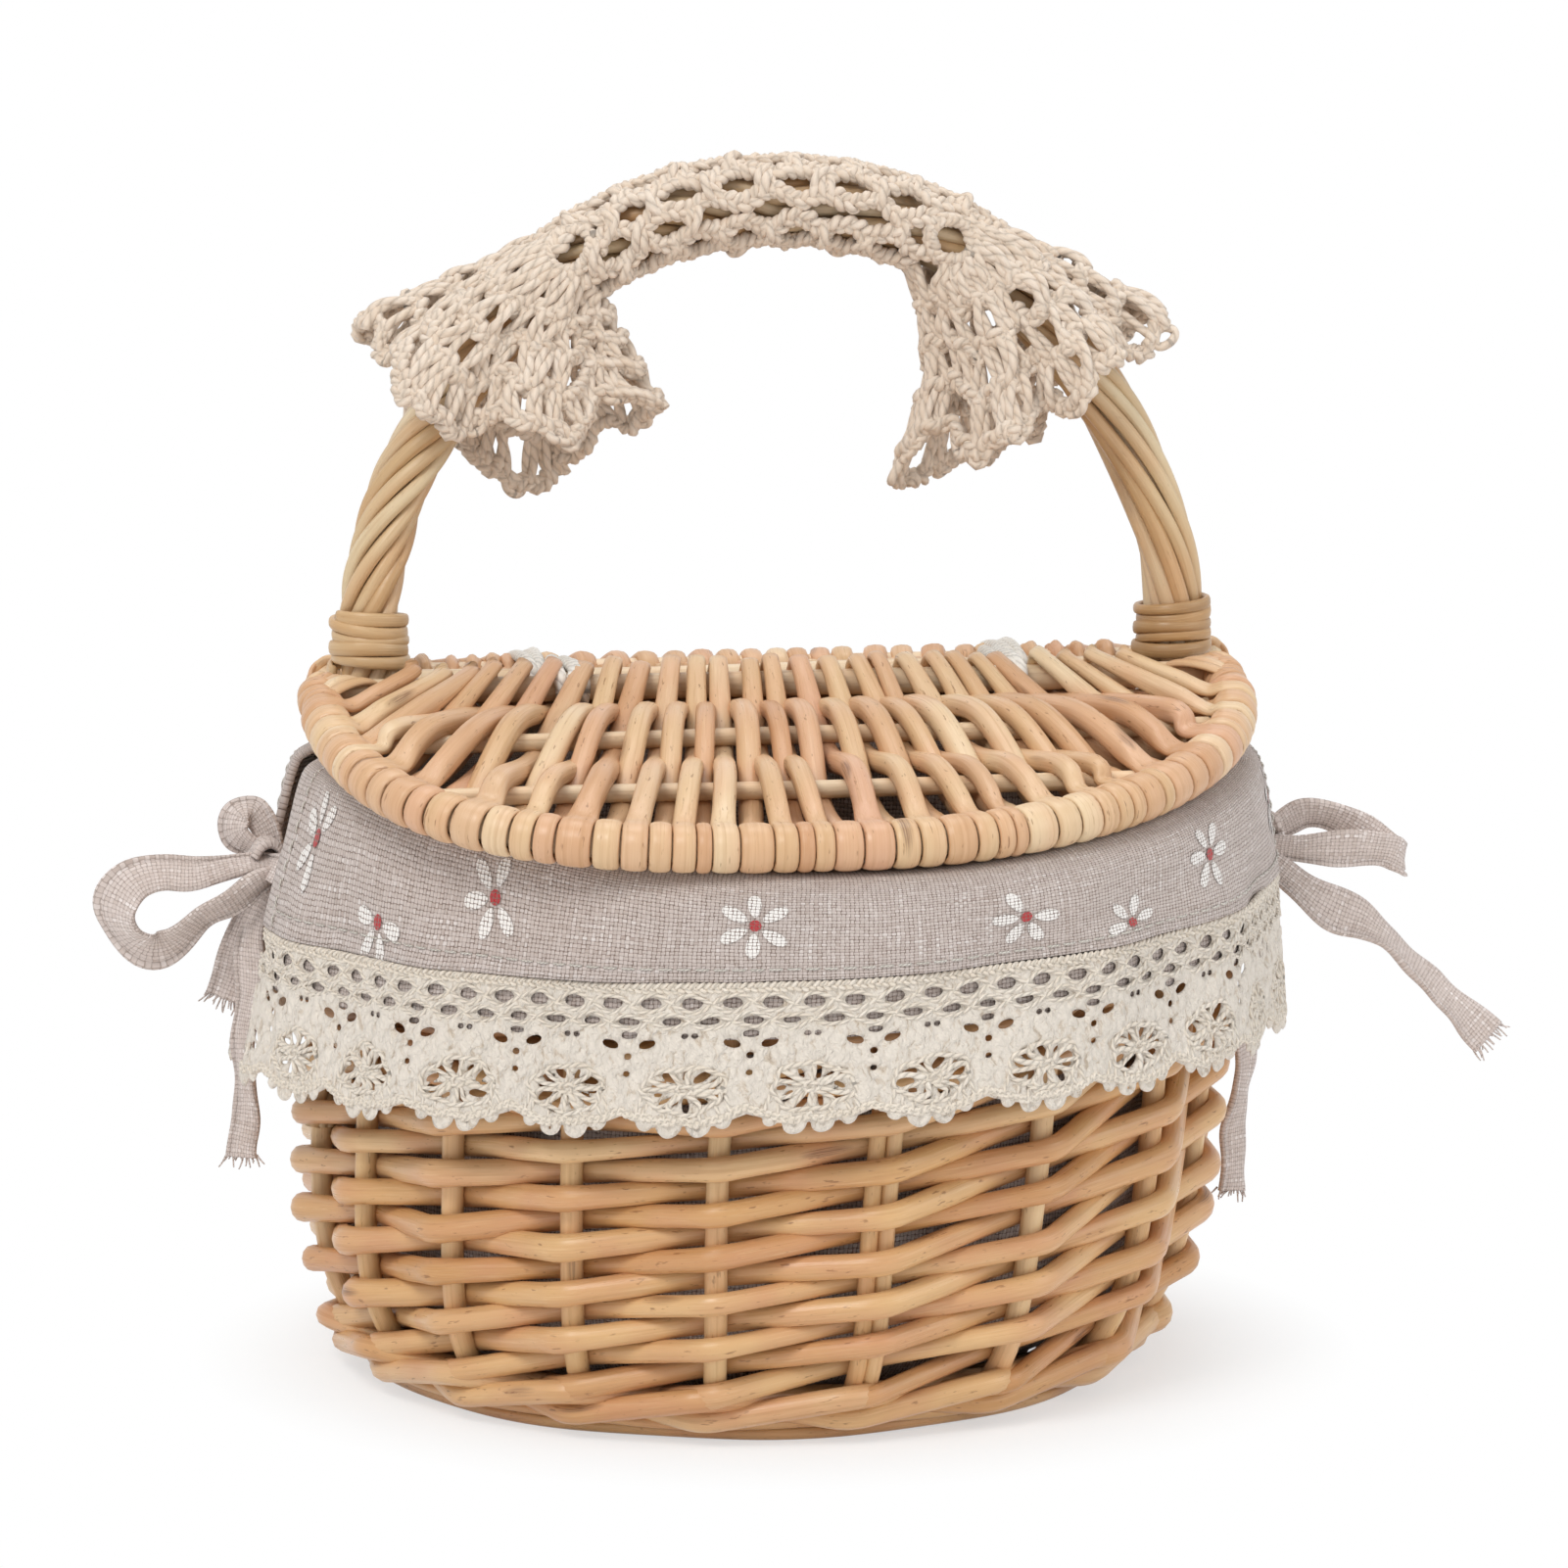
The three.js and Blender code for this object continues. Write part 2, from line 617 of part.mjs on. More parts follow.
function hingeLoop(x, sign) {
  const barR = BAR_D / 2 + CLEAR + LOOP_D / 2;
  const lidR = BACK_D / 2 + CLEAR + LOOP_D / 2;
  const tilt = Math.asin((barR - lidR) / HINGE_Y);
  const path = [];
  range(6).forEach((i) => {
    const a = mix(Math.PI / 2 - tilt, -Math.PI / 2 + tilt, i / 5);
    path.push(V(x, -sign * barR * Math.cos(a), BAR_Z + barR * Math.sin(a)));
  });
  range(6).forEach((i) => {
    const a = mix(-Math.PI / 2 + tilt, -1.5 * Math.PI - tilt, i / 5);
    path.push(V(x, sign * (HINGE_Y - lidR * Math.cos(a)), BAR_Z + lidR * Math.sin(a)));
  });
  return rod(path, LOOP_D / 2, 5, V(1, 0, 0), true);
}

add('front_loop_left', hingeLoop(-LOOP_X, -1), 'cord');
add('front_loop_right', hingeLoop(LOOP_X, -1), 'cord');
add('rear_loop_left', hingeLoop(-rearLoopX, 1), 'cord');
add('rear_loop_right', hingeLoop(rearLoopX, 1), 'cord');

// Liner: a bag inside the bowl, and a cuff in two panels folded over the border

const bagOff = -COURSE_OUT - LINER_GAP;

function linerBag() {
  const steps = 32;
  const ringAt = (half, off, height) => range(steps).map((i) => {
    const angle = (TAU * i) / steps;
    const z = height(angle);
    return half === null ? onWall(angle, z, off) : plan(angle, half, off, z);
  });
  const bagTop = (angle) => borderZ(angle) - CUFF_INNER_DROP - 2 * CLEAR;
  const corner = FOOT_TOP + 4 * CLEAR;
  const wall = (off) => [
    ringAt(null, off, () => corner),
    ...bends.slice(1).map((z) => ringAt(null, off, () => z)),
    ringAt(null, off, bagTop),
  ];
  const outside = [
    ringAt(FLOOR_HALF, 0, () => FLOOR_Z),
    ringAt(FOOT_INNER - LINER_GAP, 0, () => corner - CLEAR),
    ...wall(bagOff),
  ];
  const inside = [
    ...wall(bagOff - CLOTH_T).slice(1).reverse(),
    ringAt(FOOT_INNER - LINER_GAP - CLOTH_T, 0, () => corner + CLOTH_T),
    ringAt(FLOOR_HALF - CLOTH_T, 0, () => FLOOR_Z + CLOTH_T),
  ];
  return loft([...outside, ...inside]);
}

const seamZ = (angle) =>
  SEAM_Z + SEAM_DIP * Math.cos(2 * angle) + SEAM_TILT * Math.cos(angle);
const sideFlare = (angle) => SIDE_FLARE * Math.cos(angle) ** 6;
const fold = (angle) => FOLD_DEPTH * (0.5 - 0.5 * Math.cos(FOLD_COUNT * angle));
const seamOff = COURSE_OUT + CUFF_OUT + CUFF_FLARE;

function panelAngles(sign, steps) {
  const slit = Math.asin(SLIT_HALF / (STAKE_LINE * PLAN_RATIO));
  return range(steps + 1).map((i) => sign * mix(slit, Math.PI - slit, i / steps));
}

function cuff(sign) {
  const rings = panelAngles(sign, FOLD_COUNT * 2).map((angle) => {
    const top = borderZ(angle);
    const crown = BORDER_D / 2 + CUFF_OVER;
    const side = COURSE_OUT + CUFF_OUT;
    const drop = top - seamZ(angle);
    const wave = fold(angle) + sideFlare(angle);
    // offset outward from the stakes, height from the border, and the cloth's outward direction
    const line = [
      [bagOff - CUFF_OUT / 4, -CUFF_INNER_DROP, -1, 0],
      [bagOff - CUFF_OUT / 4, 0, -1, 0.3],
      [-side * 0.62, crown * 0.78, -0.6, 0.8],
      [0, crown, 0, 1],
      [side * 0.62, crown * 0.78, 0.6, 0.8],
      [side, 0, 1, 0.3],
      [side + CUFF_FLARE * 0.6 + wave * 0.5, -drop * 0.5, 1, 0],
      [seamOff + wave, -drop, 1, 0],
    ];
    const at = (off, rise) => plan(angle, STAKE_LINE, off, top + rise);
    const near = line.map(([off, rise]) => at(off, rise));
    const far = line.map(([off, rise, nx, nz]) => at(off + nx * CLOTH_T, rise + nz * CLOTH_T));
    return [...near, ...far.reverse()];
  });
  return loft(rings);
}

function lace(sign) {
  const rings = panelAngles(sign, SCALLOP_COUNT * 2).map((angle) => {
    const top = seamZ(angle) - CLEAR;
    const scallop = SCALLOP_DEPTH * Math.abs(Math.sin((SCALLOP_COUNT / 2) * angle));
    const drop = LACE_DROP + LACE_BOW * Math.cos(2 * angle) + scallop;
    const wave = fold(angle) + sideFlare(angle);
    const line = [0, 1].map((f) => [seamOff + wave + LACE_FLARE * f, top - drop * f]);
    const near = line.map(([off, z]) => plan(angle, STAKE_LINE, off, z));
    const far = line.map(([off, z]) => plan(angle, STAKE_LINE, off + LACE_T, z)).reverse();
    return [...near, ...far];
  });
  return loft(rings);
}

add('liner_bag', linerBag(), 'linen', bowlLean);
add('liner_cuff_front', cuff(-1), 'linen', bowlLean);
add('liner_cuff_rear', cuff(1), 'linen', bowlLean);
add('lace_front', lace(-1), 'lace', bowlLean);
add('lace_rear', lace(1), 'lace', bowlLean);

// Ties: a knot at each handle foot with two loops and two tails

const knotAt = STAKE_LINE + COURSE_OUT + CLEAR + KNOT_X;

function knot(sign) {
  const rings = range(7).map((i) => {
    const b = mix(-0.42, 0.42, i / 6) * Math.PI;
    return range(8).map((j) => {
      const a = (TAU * j) / 8;
      return V(
        sign * (knotAt + KNOT_X * Math.cos(a) * Math.cos(b)),
        KNOT_Y * Math.sin(b),
        KNOT_HEIGHT + KNOT_Z * Math.sin(a) * Math.cos(b),
      );
    });
  });
  return loft(rings);
}

// A loop of strip that springs from the knot's side at the root angle, aims down, and comes back.
function tieLoop(sign, length, height, root, aim, sway) {
  const steps = 12;
  const path = range(steps + 1).map((i) => {
    const f = i / steps;
    const out = length * Math.sin(Math.PI * f);
    const swell = height * 0.5 * Math.sin(TAU * f);
    const apart = TIE_T * 1.5 * Math.cos(Math.PI * f);
    const rootX = (KNOT_X + TIE_GAP) * Math.cos(root) - apart * Math.sin(root);
    const rootZ = (KNOT_Z + TIE_GAP) * Math.sin(root) + apart * Math.cos(root);
    const x = knotAt + rootX + out * Math.cos(aim) + swell * Math.sin(aim);
    const z = KNOT_HEIGHT + rootZ - out * Math.sin(aim) + swell * Math.cos(aim);
    return V(sign * x, sway * (out / length) ** 2, z);
  });
  return strip(path, TIE_W, TIE_T, V(0, 1, 0));
}

// A tail of strip that leaves the knot's underside and hangs, or springs out before it falls.
function tieTail(sign, length, reach, sway, from) {
  const steps = 8;
  const path = range(steps + 1).map((i) => {
    const f = i / steps;
    const x = knotAt - TIE_T + reach * Math.sin(f * Math.PI * 0.5);
    const z = KNOT_HEIGHT - KNOT_Z - TIE_GAP - TIE_T / 2 - length * f ** 1.3;
    return V(sign * x, from + sway * ease(f), z);
  });
  return strip(path, TIE_W, TIE_T, V(0, 1, 0));
}

const tieLean = () => bowlLean(KNOT_HEIGHT);
add('tie_left_knot', knot(-1), 'linen', tieLean);
add('tie_left_loop', tieLoop(-1, LEFT_LOOP_L, LEFT_LOOP_H, 0, 0.36, -LEFT_LOOP_SWAY), 'linen', tieLean);
add('tie_left_back_loop', tieLoop(-1, BACK_LOOP_L, BACK_LOOP_H, 1.1, -0.9, BACK_LOOP_SWAY), 'linen', tieLean);
add('tie_left_tail', tieTail(-1, LEFT_TAIL_L, TAIL_REACH, 0, -TAIL_SHIFT), 'linen', tieLean);
add('tie_left_short_tail', tieTail(-1, LEFT_SHORT_L, SHORT_REACH, 0, TAIL_SHIFT), 'linen', tieLean);
add('tie_right_knot', knot(1), 'linen', tieLean);
add('tie_right_loop', tieLoop(1, RIGHT_LOOP_L, RIGHT_LOOP_H, 0, -0.1, RIGHT_LOOP_SWAY), 'linen', tieLean);
add('tie_right_tail', tieTail(1, RIGHT_TAIL_L, SPRUNG_REACH, -SPRUNG_SWAY, -TAIL_SHIFT), 'linen', tieLean);
add('tie_right_short_tail', tieTail(1, RIGHT_SHORT_L, TAIL_REACH, 0, TAIL_SHIFT), 'linen', tieLean);

// Crochet cover: a sleeve over the top of the bow whose two ends open into ruffled flares

function handleCover() {
  const steps = 16;
  const count = RUFFLE_COUNT * 2;
  const span = THREE.MathUtils.degToRad(COVER_SPAN);
  const flare = THREE.MathUtils.degToRad(FLARE_SPAN);
  const sleeve = (HANDLE_D / 2 + COVER_GAP) / Math.cos(Math.PI / count) + COVER_T;
  const path = range(steps + 1).map((i) => archPoint(Math.PI / 2 + mix(-span, span, i / steps)));
  const frames = across(path, V(0, 1, 0));
  const inward = (p) => V(-p.x, 0, ARCH_Z - p.z).normalize();
  const ring = (thick) => ({ p, side, top }, i) => {
    const turn = Math.abs(mix(-span, span, i / steps));
    const f = Math.max(0, (turn - (span - flare)) / flare) ** 1.4;
    return range(count).map((j) => {
      const a = (TAU * j) / count;
      const ruffle = RUFFLE_DEPTH * f * Math.cos(RUFFLE_COUNT * a);
      const wide = mix(sleeve, FLARE_HALF, f) - thick + ruffle;
      const deep = mix(sleeve, FLARE_DEPTH, f) - thick + ruffle;
      const q = p.clone().addScaledVector(inward(p), FLARE_SAG * f);
      q.addScaledVector(side, wide * Math.cos(a));
      q.addScaledVector(top, deep * Math.sin(a));
      return q;
    });
  };
  const outside = frames.map(ring(0));
  const inside = frames.map(ring(COVER_T)).reverse();
  return loft([...outside, ...inside], true);
}

add('handle_cover', handleCover(), 'crochet');

export default hamper;
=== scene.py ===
"""Willow picnic hamper: rods, linen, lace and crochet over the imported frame.

Lengths are in millimetres until a mesh is made.
"""

import math

import bpy
import numpy as np
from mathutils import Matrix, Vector


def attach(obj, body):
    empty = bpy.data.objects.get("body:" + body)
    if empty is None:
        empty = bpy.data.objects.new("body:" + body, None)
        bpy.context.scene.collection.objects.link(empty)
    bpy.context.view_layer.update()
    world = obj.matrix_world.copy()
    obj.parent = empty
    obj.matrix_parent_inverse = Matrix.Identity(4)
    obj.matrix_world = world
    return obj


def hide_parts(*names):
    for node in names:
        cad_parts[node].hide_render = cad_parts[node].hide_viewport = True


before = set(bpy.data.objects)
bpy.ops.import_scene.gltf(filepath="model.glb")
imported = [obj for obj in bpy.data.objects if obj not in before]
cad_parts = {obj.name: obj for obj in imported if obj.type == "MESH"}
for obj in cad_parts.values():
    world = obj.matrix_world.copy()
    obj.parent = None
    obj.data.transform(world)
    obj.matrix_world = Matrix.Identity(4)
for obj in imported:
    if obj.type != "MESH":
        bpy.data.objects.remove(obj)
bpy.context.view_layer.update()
scene = bpy.context.scene
rng = np.random.default_rng(7)

MM = 0.001
PI = math.pi
TAU = 2 * PI
UP = (0, 0, 1)
SIDES = (("left", -1), ("right", 1))
HALVES = (("front", -1), ("rear", 1))

# Sizes shared with the solids

STAKE_LINE = 112.7  # half width of the ring of stakes, along the handle
PLAN_RATIO = 1.05  # depth of the bowl for its width
FOOT_TUCK = 29.0  # how far the wall draws in at the foot
TUCK_HEIGHT = 15.0
BOWL_LEAN = 8.0  # how far the foot stands to the left of the rim
LEAN_TOP = 151.7
LEAN_FOOT = 9.0
STAKES = 18
STAKE_STEP = TAU / STAKES
STAKE_DRIFT = 0.105  # radians by which the stakes at front and rear leave even spacing
BORDER_MID_Z = 143.2
BORDER_RISE = 8.5
HANDLE_HALF = 104.0
BAR_Z = 174.0
ARCH_Z = 188.0
HINGE_Y = 17.0
LID_HALF = 115.5
LID_REACH = 103.84
LID_DROP = 26.2
LID_DEPTH = math.hypot(LID_REACH, LID_DROP)
LID_SLOPE = math.atan2(LID_DROP, LID_REACH)
LID_SHIFT = 3.5
LID_CORNER = 3.0
RIBS = (36.0, 71.0)
LOOP_X = 56.0
LOOP_STEP = 6.0
SEAM_OFF = 12.2
BAG_OFF = -9.0
KNOT_Z = 129.0

# The bow that is seen is a little lower than its solid, and narrower at half height

HANDLE_ARCH = 105.6
BOW_WAIST = 0.05


# Camera

scene.view_settings.view_transform = "Standard"
target = Vector((0.002, 0.0, 0.146))
distance = 1.5
yaw, lift = math.radians(11.0), math.radians(7.8)
back = Vector((-math.sin(yaw) * math.cos(lift), -math.cos(yaw) * math.cos(lift), math.sin(lift)))
lens = bpy.data.cameras.new("camera")
lens.lens = 134.9
lens.sensor_width = 36.0
camera = bpy.data.objects.new("camera", lens)
camera.location = target + back * distance
camera.rotation_euler = (-back).to_track_quat("-Z", "Y").to_euler()
scene.collection.objects.link(camera)
scene.camera = camera


# Mesh building

def unit(v):
    return v / np.maximum(np.linalg.norm(v, axis=-1, keepdims=True), 1e-9)


def run_along(path):
    """Length from the start of a path to each of its points."""
    return np.concatenate([[0], np.cumsum(np.linalg.norm(np.diff(path, axis=0), axis=1))])


def curve(a, b, c, d, f):
    """Smooth way from b to c at share f, with a and d as the points before and after."""
    return 0.5 * (2 * b + (c - a) * f + (2 * a - 5 * b + 4 * c - d) * f**2 + (3 * b - a - 3 * c + d) * f**3)


def spline(points, count, closed=False):
    """Points evenly spread along a smooth curve through the given ones."""
    p = np.asarray(points, float)
    if closed:
        ext = np.vstack([p[-1], p, p[0], p[1]])
    else:
        ext = np.vstack([2 * p[0] - p[1], p, 2 * p[-1] - p[-2]])
    spans = len(ext) - 3
    t = np.linspace(0, spans, spans * 16 + 1)
    i = np.minimum(t.astype(int), spans - 1)
    q = curve(ext[i], ext[i + 1], ext[i + 2], ext[i + 3], (t - i)[:, None])
    run = run_along(q)
    at = np.linspace(0, run[-1], count + 1)[:-1] if closed else np.linspace(0, run[-1], count)
    return np.stack([np.interp(at, run, q[:, k]) for k in range(q.shape[1])], -1)


def frames(path, up=None, closed=False):
    """Directions along a path, to its side and to its top; without 'up' they turn as little as they can."""
    if closed:
        t = unit(np.roll(path, -1, 0) - np.roll(path, 1, 0))
    else:
        t = unit(np.gradient(path, axis=0))
    if up is not None:
        u = np.broadcast_to(np.asarray(up, float), path.shape)
        side = unit(np.cross(u, t))
        return t, side, np.cross(t, side)
    odd_way = [0.31, 0.17, 0.93]
    side = np.empty_like(path)
    first = np.cross(odd_way, t[0])
    side[0] = first / np.linalg.norm(first)
    for i in range(1, len(path)):
        s = side[i - 1] - t[i] * np.dot(side[i - 1], t[i])
        side[i] = s / max(np.linalg.norm(s), 1e-9)
    return t, side, np.cross(t, side)


def squares(idx):
    """Four corners of each square in a grid of point numbers."""
    return np.stack([idx[:-1, :-1], idx[:-1, 1:], idx[1:, 1:], idx[1:, :-1]], -1).reshape(-1, 4)


def rim(idx):
    """Point numbers once round the edge of a grid."""
    return np.concatenate([idx[0], idx[1:, -1], idx[-1, -2::-1], idx[-2:0:-1, 0]])


class Build:
    """Collects tubes and sheets into one mesh, with 'lay' (along, across, depth) and 'rnd' on its points."""

    def __init__(self):
        self.v, self.lay, self.rnd, self.quads, self.tris, self.n = [], [], [], [], [], 0

    def points(self, v, lay, rnd):
        v = np.asarray(v, float).reshape(-1, 3)
        self.v.append(v)
        self.lay.append(np.broadcast_to(np.asarray(lay, float).reshape(-1, 3), v.shape))
        self.rnd.append(np.broadcast_to(np.asarray(rnd, float).reshape(-1), (len(v),)))
        first = self.n
        self.n += len(v)
        return first

    def grid(self, v, lay, rnd):
        n, m = v.shape[:2]
        return self.points(v, lay, rnd) + np.arange(n * m).reshape(n, m)

    def sweep(self, rings, lay, rnd, ends=None):
        """A skin over rings of points, closed at two end points, or else into a ring of rings."""
        idx = self.grid(rings, lay, rnd)
        rows = np.vstack([idx, idx[:1]]) if ends is None else idx
        self.quads.append(squares(np.hstack([rows, rows[:, :1]])))
        if ends is not None:
            tip = self.points(ends, lay[[0, -1], 0], rnd)
            beside = np.roll(idx, -1, 1)
            self.tris.append(np.stack([np.full(idx.shape[1], tip), beside[0], idx[0]], -1))
            self.tris.append(np.stack([np.full(idx.shape[1], tip + 1), idx[-1], beside[-1]], -1))

    def tube(self, path, rx, ry=None, sides=8, up=None, closed=False, rnd=None, square=1.0):
        path = np.asarray(path, float)
        n = len(path)
        ry = rx if ry is None else ry
        rx = np.broadcast_to(np.asarray(rx, float), (n,))
        ry = np.broadcast_to(np.asarray(ry, float), (n,))
        t, side, top = frames(path, up, closed)
        a = TAU * np.arange(sides) / sides
        ca, sa = np.cos(a), np.sin(a)
        x = rx[:, None] * (np.sign(ca) * np.abs(ca) ** square)
        y = ry[:, None] * (np.sign(sa) * np.abs(sa) ** square)
        rings = path[:, None] + side[:, None] * x[..., None] + top[:, None] * y[..., None]
        along = run_along(path) + rng.uniform(0, 4000)
        lay = np.stack([np.repeat(along[:, None], sides, 1), x, y], -1)
        rnd = rng.uniform() if rnd is None else rnd
        dome = 0.25 * ry
        ends = np.stack([path[0] - t[0] * dome[0], path[-1] + t[-1] * dome[-1]])
        self.sweep(rings, lay, rnd, None if closed else ends)

    def shell(self, outer, inner, lay, rnd=0.5):
        """A closed sheet between two equal grids of points."""
        a = self.grid(outer, lay, rnd)
        b = self.grid(inner, lay, rnd)
        self.quads.append(squares(a))
        self.quads.append(squares(b)[:, [0, 3, 2, 1]])
        ra, rb = rim(a), rim(b)
        self.quads.append(np.stack([ra, rb, np.roll(rb, -1), np.roll(ra, -1)], -1))

    def make(self, name, material, body, slot, nodes=()):
        mesh = bpy.data.meshes.new(name)
        faces = [f for q in self.quads + self.tris for f in q.tolist()]
        mesh.from_pydata((np.concatenate(self.v) * MM).tolist(), [], faces)
        lay = mesh.attributes.new("lay", "FLOAT_VECTOR", "POINT")
        lay.data.foreach_set("vector", np.concatenate(self.lay).astype(np.float32).ravel())
        rnd = mesh.attributes.new("rnd", "FLOAT", "POINT")
        rnd.data.foreach_set("value", np.concatenate(self.rnd).astype(np.float32))
        mesh.polygons.foreach_set("use_smooth", np.ones(len(mesh.polygons), bool))
        mesh.materials.append(material)
        obj = bpy.data.objects.new(name, mesh)
        scene.collection.objects.link(obj)
        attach(obj, body)
        if nodes:
            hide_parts(*nodes)
        return obj


# Materials

def srgb(r, g, b):
    c = np.array([r, g, b]) / 255
    c = np.where(c <= 0.04045, c / 12.92, ((c + 0.055) / 1.055) ** 2.4)
    return (*c.tolist(), 1.0)


class Shade:
    """A material with short names for the nodes used here."""

    def __init__(self, name):
        self.material = bpy.data.materials.new(name)
        self.material.use_nodes = True
        self.tree = self.material.node_tree
        self.bsdf = self.tree.nodes["Principled BSDF"]

    def node(self, kind, out=0, props=None, **inputs):
        n = self.tree.nodes.new("ShaderNode" + kind)
        for k, v in (props or {}).items():
            setattr(n, k, v)
        for k, v in inputs.items():
            key = int(k[1:]) if k[0] == "i" and k[1:].isdigit() else k.replace("_", " ")
            self.put(n.inputs[key], v)
        return n.outputs[out]

    def put(self, socket, v):
        if isinstance(v, bpy.types.NodeSocket):
            self.tree.links.new(v, socket)
        else:
            socket.default_value = v

    def math(self, op, a, b=0.0, c=0.0):
        return self.node("Math", props={"operation": op}, i0=a, i1=b, i2=c)

    def plus(self, a, b):
        return self.math("ADD", a, b)

    def minus(self, a, b):
        return self.math("SUBTRACT", a, b)

    def times(self, a, b):
        return self.math("MULTIPLY", a, b)

    def wave(self, a):
        """Rounded threads side by side: the absolute sine."""
        return self.math("ABSOLUTE", self.math("SINE", a))

    def attr(self, name):
        return self.node("Attribute", 1 if name == "lay" else 2, {"attribute_name": name})

    def scaled(self, vector, x, y, z):
        return self.node("VectorMath", props={"operation": "MULTIPLY"}, i0=vector, i1=(x, y, z))

    def noise(self, vector, scale=1.0, detail=2.0, rough=0.5):
        return self.node("TexNoise", Vector=vector, Scale=scale, Detail=detail, Roughness=rough)

    def ranged(self, v, a, b, c, d):
        return self.node("MapRange", Value=v, From_Min=a, From_Max=b, To_Min=c, To_Max=d)

    def mix(self, factor, a, b):
        return self.node("Mix", 2, {"data_type": "RGBA"}, i0=factor, i6=a, i7=b)

    def ramp(self, factor, stops):
        out = self.node("ValToRGB", Fac=factor)
        bar = out.node.color_ramp
        while len(bar.elements) < len(stops):
            bar.elements.new(0.5)
        for e, (at, colour) in zip(bar.elements, stops):
            e.position = at
            e.color = colour
        return out

    def set(self, **inputs):
        for k, v in inputs.items():
            self.put(self.bsdf.inputs[k.replace("_", " ")], v)

    def cotton(self, colour, rough, shine, sheen):
        self.set(Base_Color=colour, Roughness=rough, Specular_IOR_Level=shine)
        self.set(Sheen_Weight=sheen, Sheen_Roughness=0.5)

    def bump(self, height, strength, distance):
        self.set(Normal=self.node("Bump", Height=height, Strength=strength, Distance=distance))


BARK, PITH, KNOT, FLECK = (164, 112, 58), (240, 214, 170), (104, 60, 30), (128, 78, 38)


def willow(name, tones, blush, knots, gloss):
    """A rod's own tone, with a warmer blush, streaks along it, knots and flecks."""
    s = Shade(name)
    lay, rnd = s.attr("lay"), s.attr("rnd")
    base = s.ramp(rnd, [(i / (len(tones) - 1), srgb(*t)) for i, t in enumerate(tones)])
    streak = s.noise(s.scaled(lay, 0.02, 0.85, 0.85), detail=5, rough=0.62)
    fine = s.noise(s.scaled(lay, 0.09, 3.2, 3.2), detail=3)
    patch = s.noise(s.scaled(lay, 0.033, 0.06, 0.06), detail=2)
    colour = s.mix(s.ranged(patch, 0.42, 0.66, 0.0, 0.75), base, srgb(*blush))
    colour = s.mix(s.ranged(streak, 0.5, 0.78, 0.0, 0.42), colour, srgb(*BARK))
    colour = s.mix(s.ranged(fine, 0.55, 0.8, 0.0, 0.3), colour, srgb(*PITH))
    spot = s.node("TexVoronoi", Vector=s.scaled(lay, 0.022, 0.1, 0.1), Scale=1.0)
    spot = s.times(s.ranged(spot, 0.09, 0.17, 1.0, 0.0), s.ranged(fine, 0.35, 0.6, 0.25, 1.0))
    colour = s.mix(s.times(spot, 0.72 * knots), colour, srgb(*KNOT))
    fleck = s.noise(s.scaled(lay, 0.22, 0.9, 0.9), detail=2, rough=0.7)
    colour = s.mix(s.ranged(fleck, 0.645, 0.73, 0.0, 0.62 * knots), colour, srgb(*FLECK))
    s.set(Base_Color=colour, Roughness=s.ranged(streak, 0.3, 0.8, gloss - 0.06, gloss + 0.2))
    s.set(Specular_IOR_Level=0.5)
    height = s.minus(s.plus(streak, s.times(fine, 0.45)), s.times(spot, 0.5))
    s.bump(height, 0.32, 0.0005)
    return s.material


GOLD = [(199, 147, 94), (214, 168, 114), (223, 183, 132), (206, 156, 105), (228, 193, 146), (201, 150, 98)]
LID = [(206, 166, 124), (222, 191, 150), (198, 148, 108), (231, 207, 171), (212, 174, 132), (213, 165, 133)]
PALE = [(226, 190, 138), (233, 202, 154), (221, 182, 130), (238, 210, 166)]
TWIST = [(206, 178, 138), (217, 196, 160), (198, 166, 124), (222, 204, 174), (194, 158, 114)]
SKEIN = [(186, 152, 110), (206, 175, 133), (168, 131, 89), (196, 161, 117)]
PEEL = [(232, 210, 178), (240, 222, 194), (224, 198, 162), (236, 216, 186)]
m_willow = willow("willow_gold", GOLD, (206, 150, 110), 1.0, 0.3)
m_lid = willow("willow_lid", LID, (217, 172, 134), 1.0, 0.32)
m_stake = willow("willow_pale", PALE, (226, 176, 128), 0.8, 0.38)
m_twist = willow("willow_twist", TWIST, (206, 164, 120), 0.35, 0.34)
m_skein = willow("willow_skein", SKEIN, (196, 154, 104), 0.2, 0.34)
m_peel = willow("willow_peeled", PEEL, (236, 200, 160), 0.25, 0.4)


def weave_height(s, u, v):
    """Plain weave: threads of one set pass over and under the other."""
    a = s.wave(s.times(u, PI))
    b = s.wave(s.times(v, PI))
    odd = s.math("MODULO", s.plus(s.math("FLOOR", u), s.math("FLOOR", v)), 2.0)
    odd = s.math("GREATER_THAN", s.math("ABSOLUTE", odd), 0.5)
    top = s.plus(s.times(odd, a), s.times(s.minus(1.0, odd), b))
    return s.times(s.plus(s.times(s.times(a, b), 0.55), top), 0.65), odd


WARP, WEFT = 1.06, 0.93  # spacing of the linen's threads
CLOTH = ((0.25, (180, 164, 156)), (0.42, (196, 183, 177)), (0.58, (206, 194, 189)), (0.72, (225, 217, 214)))
FIBRE = (220, 211, 203)
PETAL, POLLEN = (248, 245, 242), (178, 8, 30)


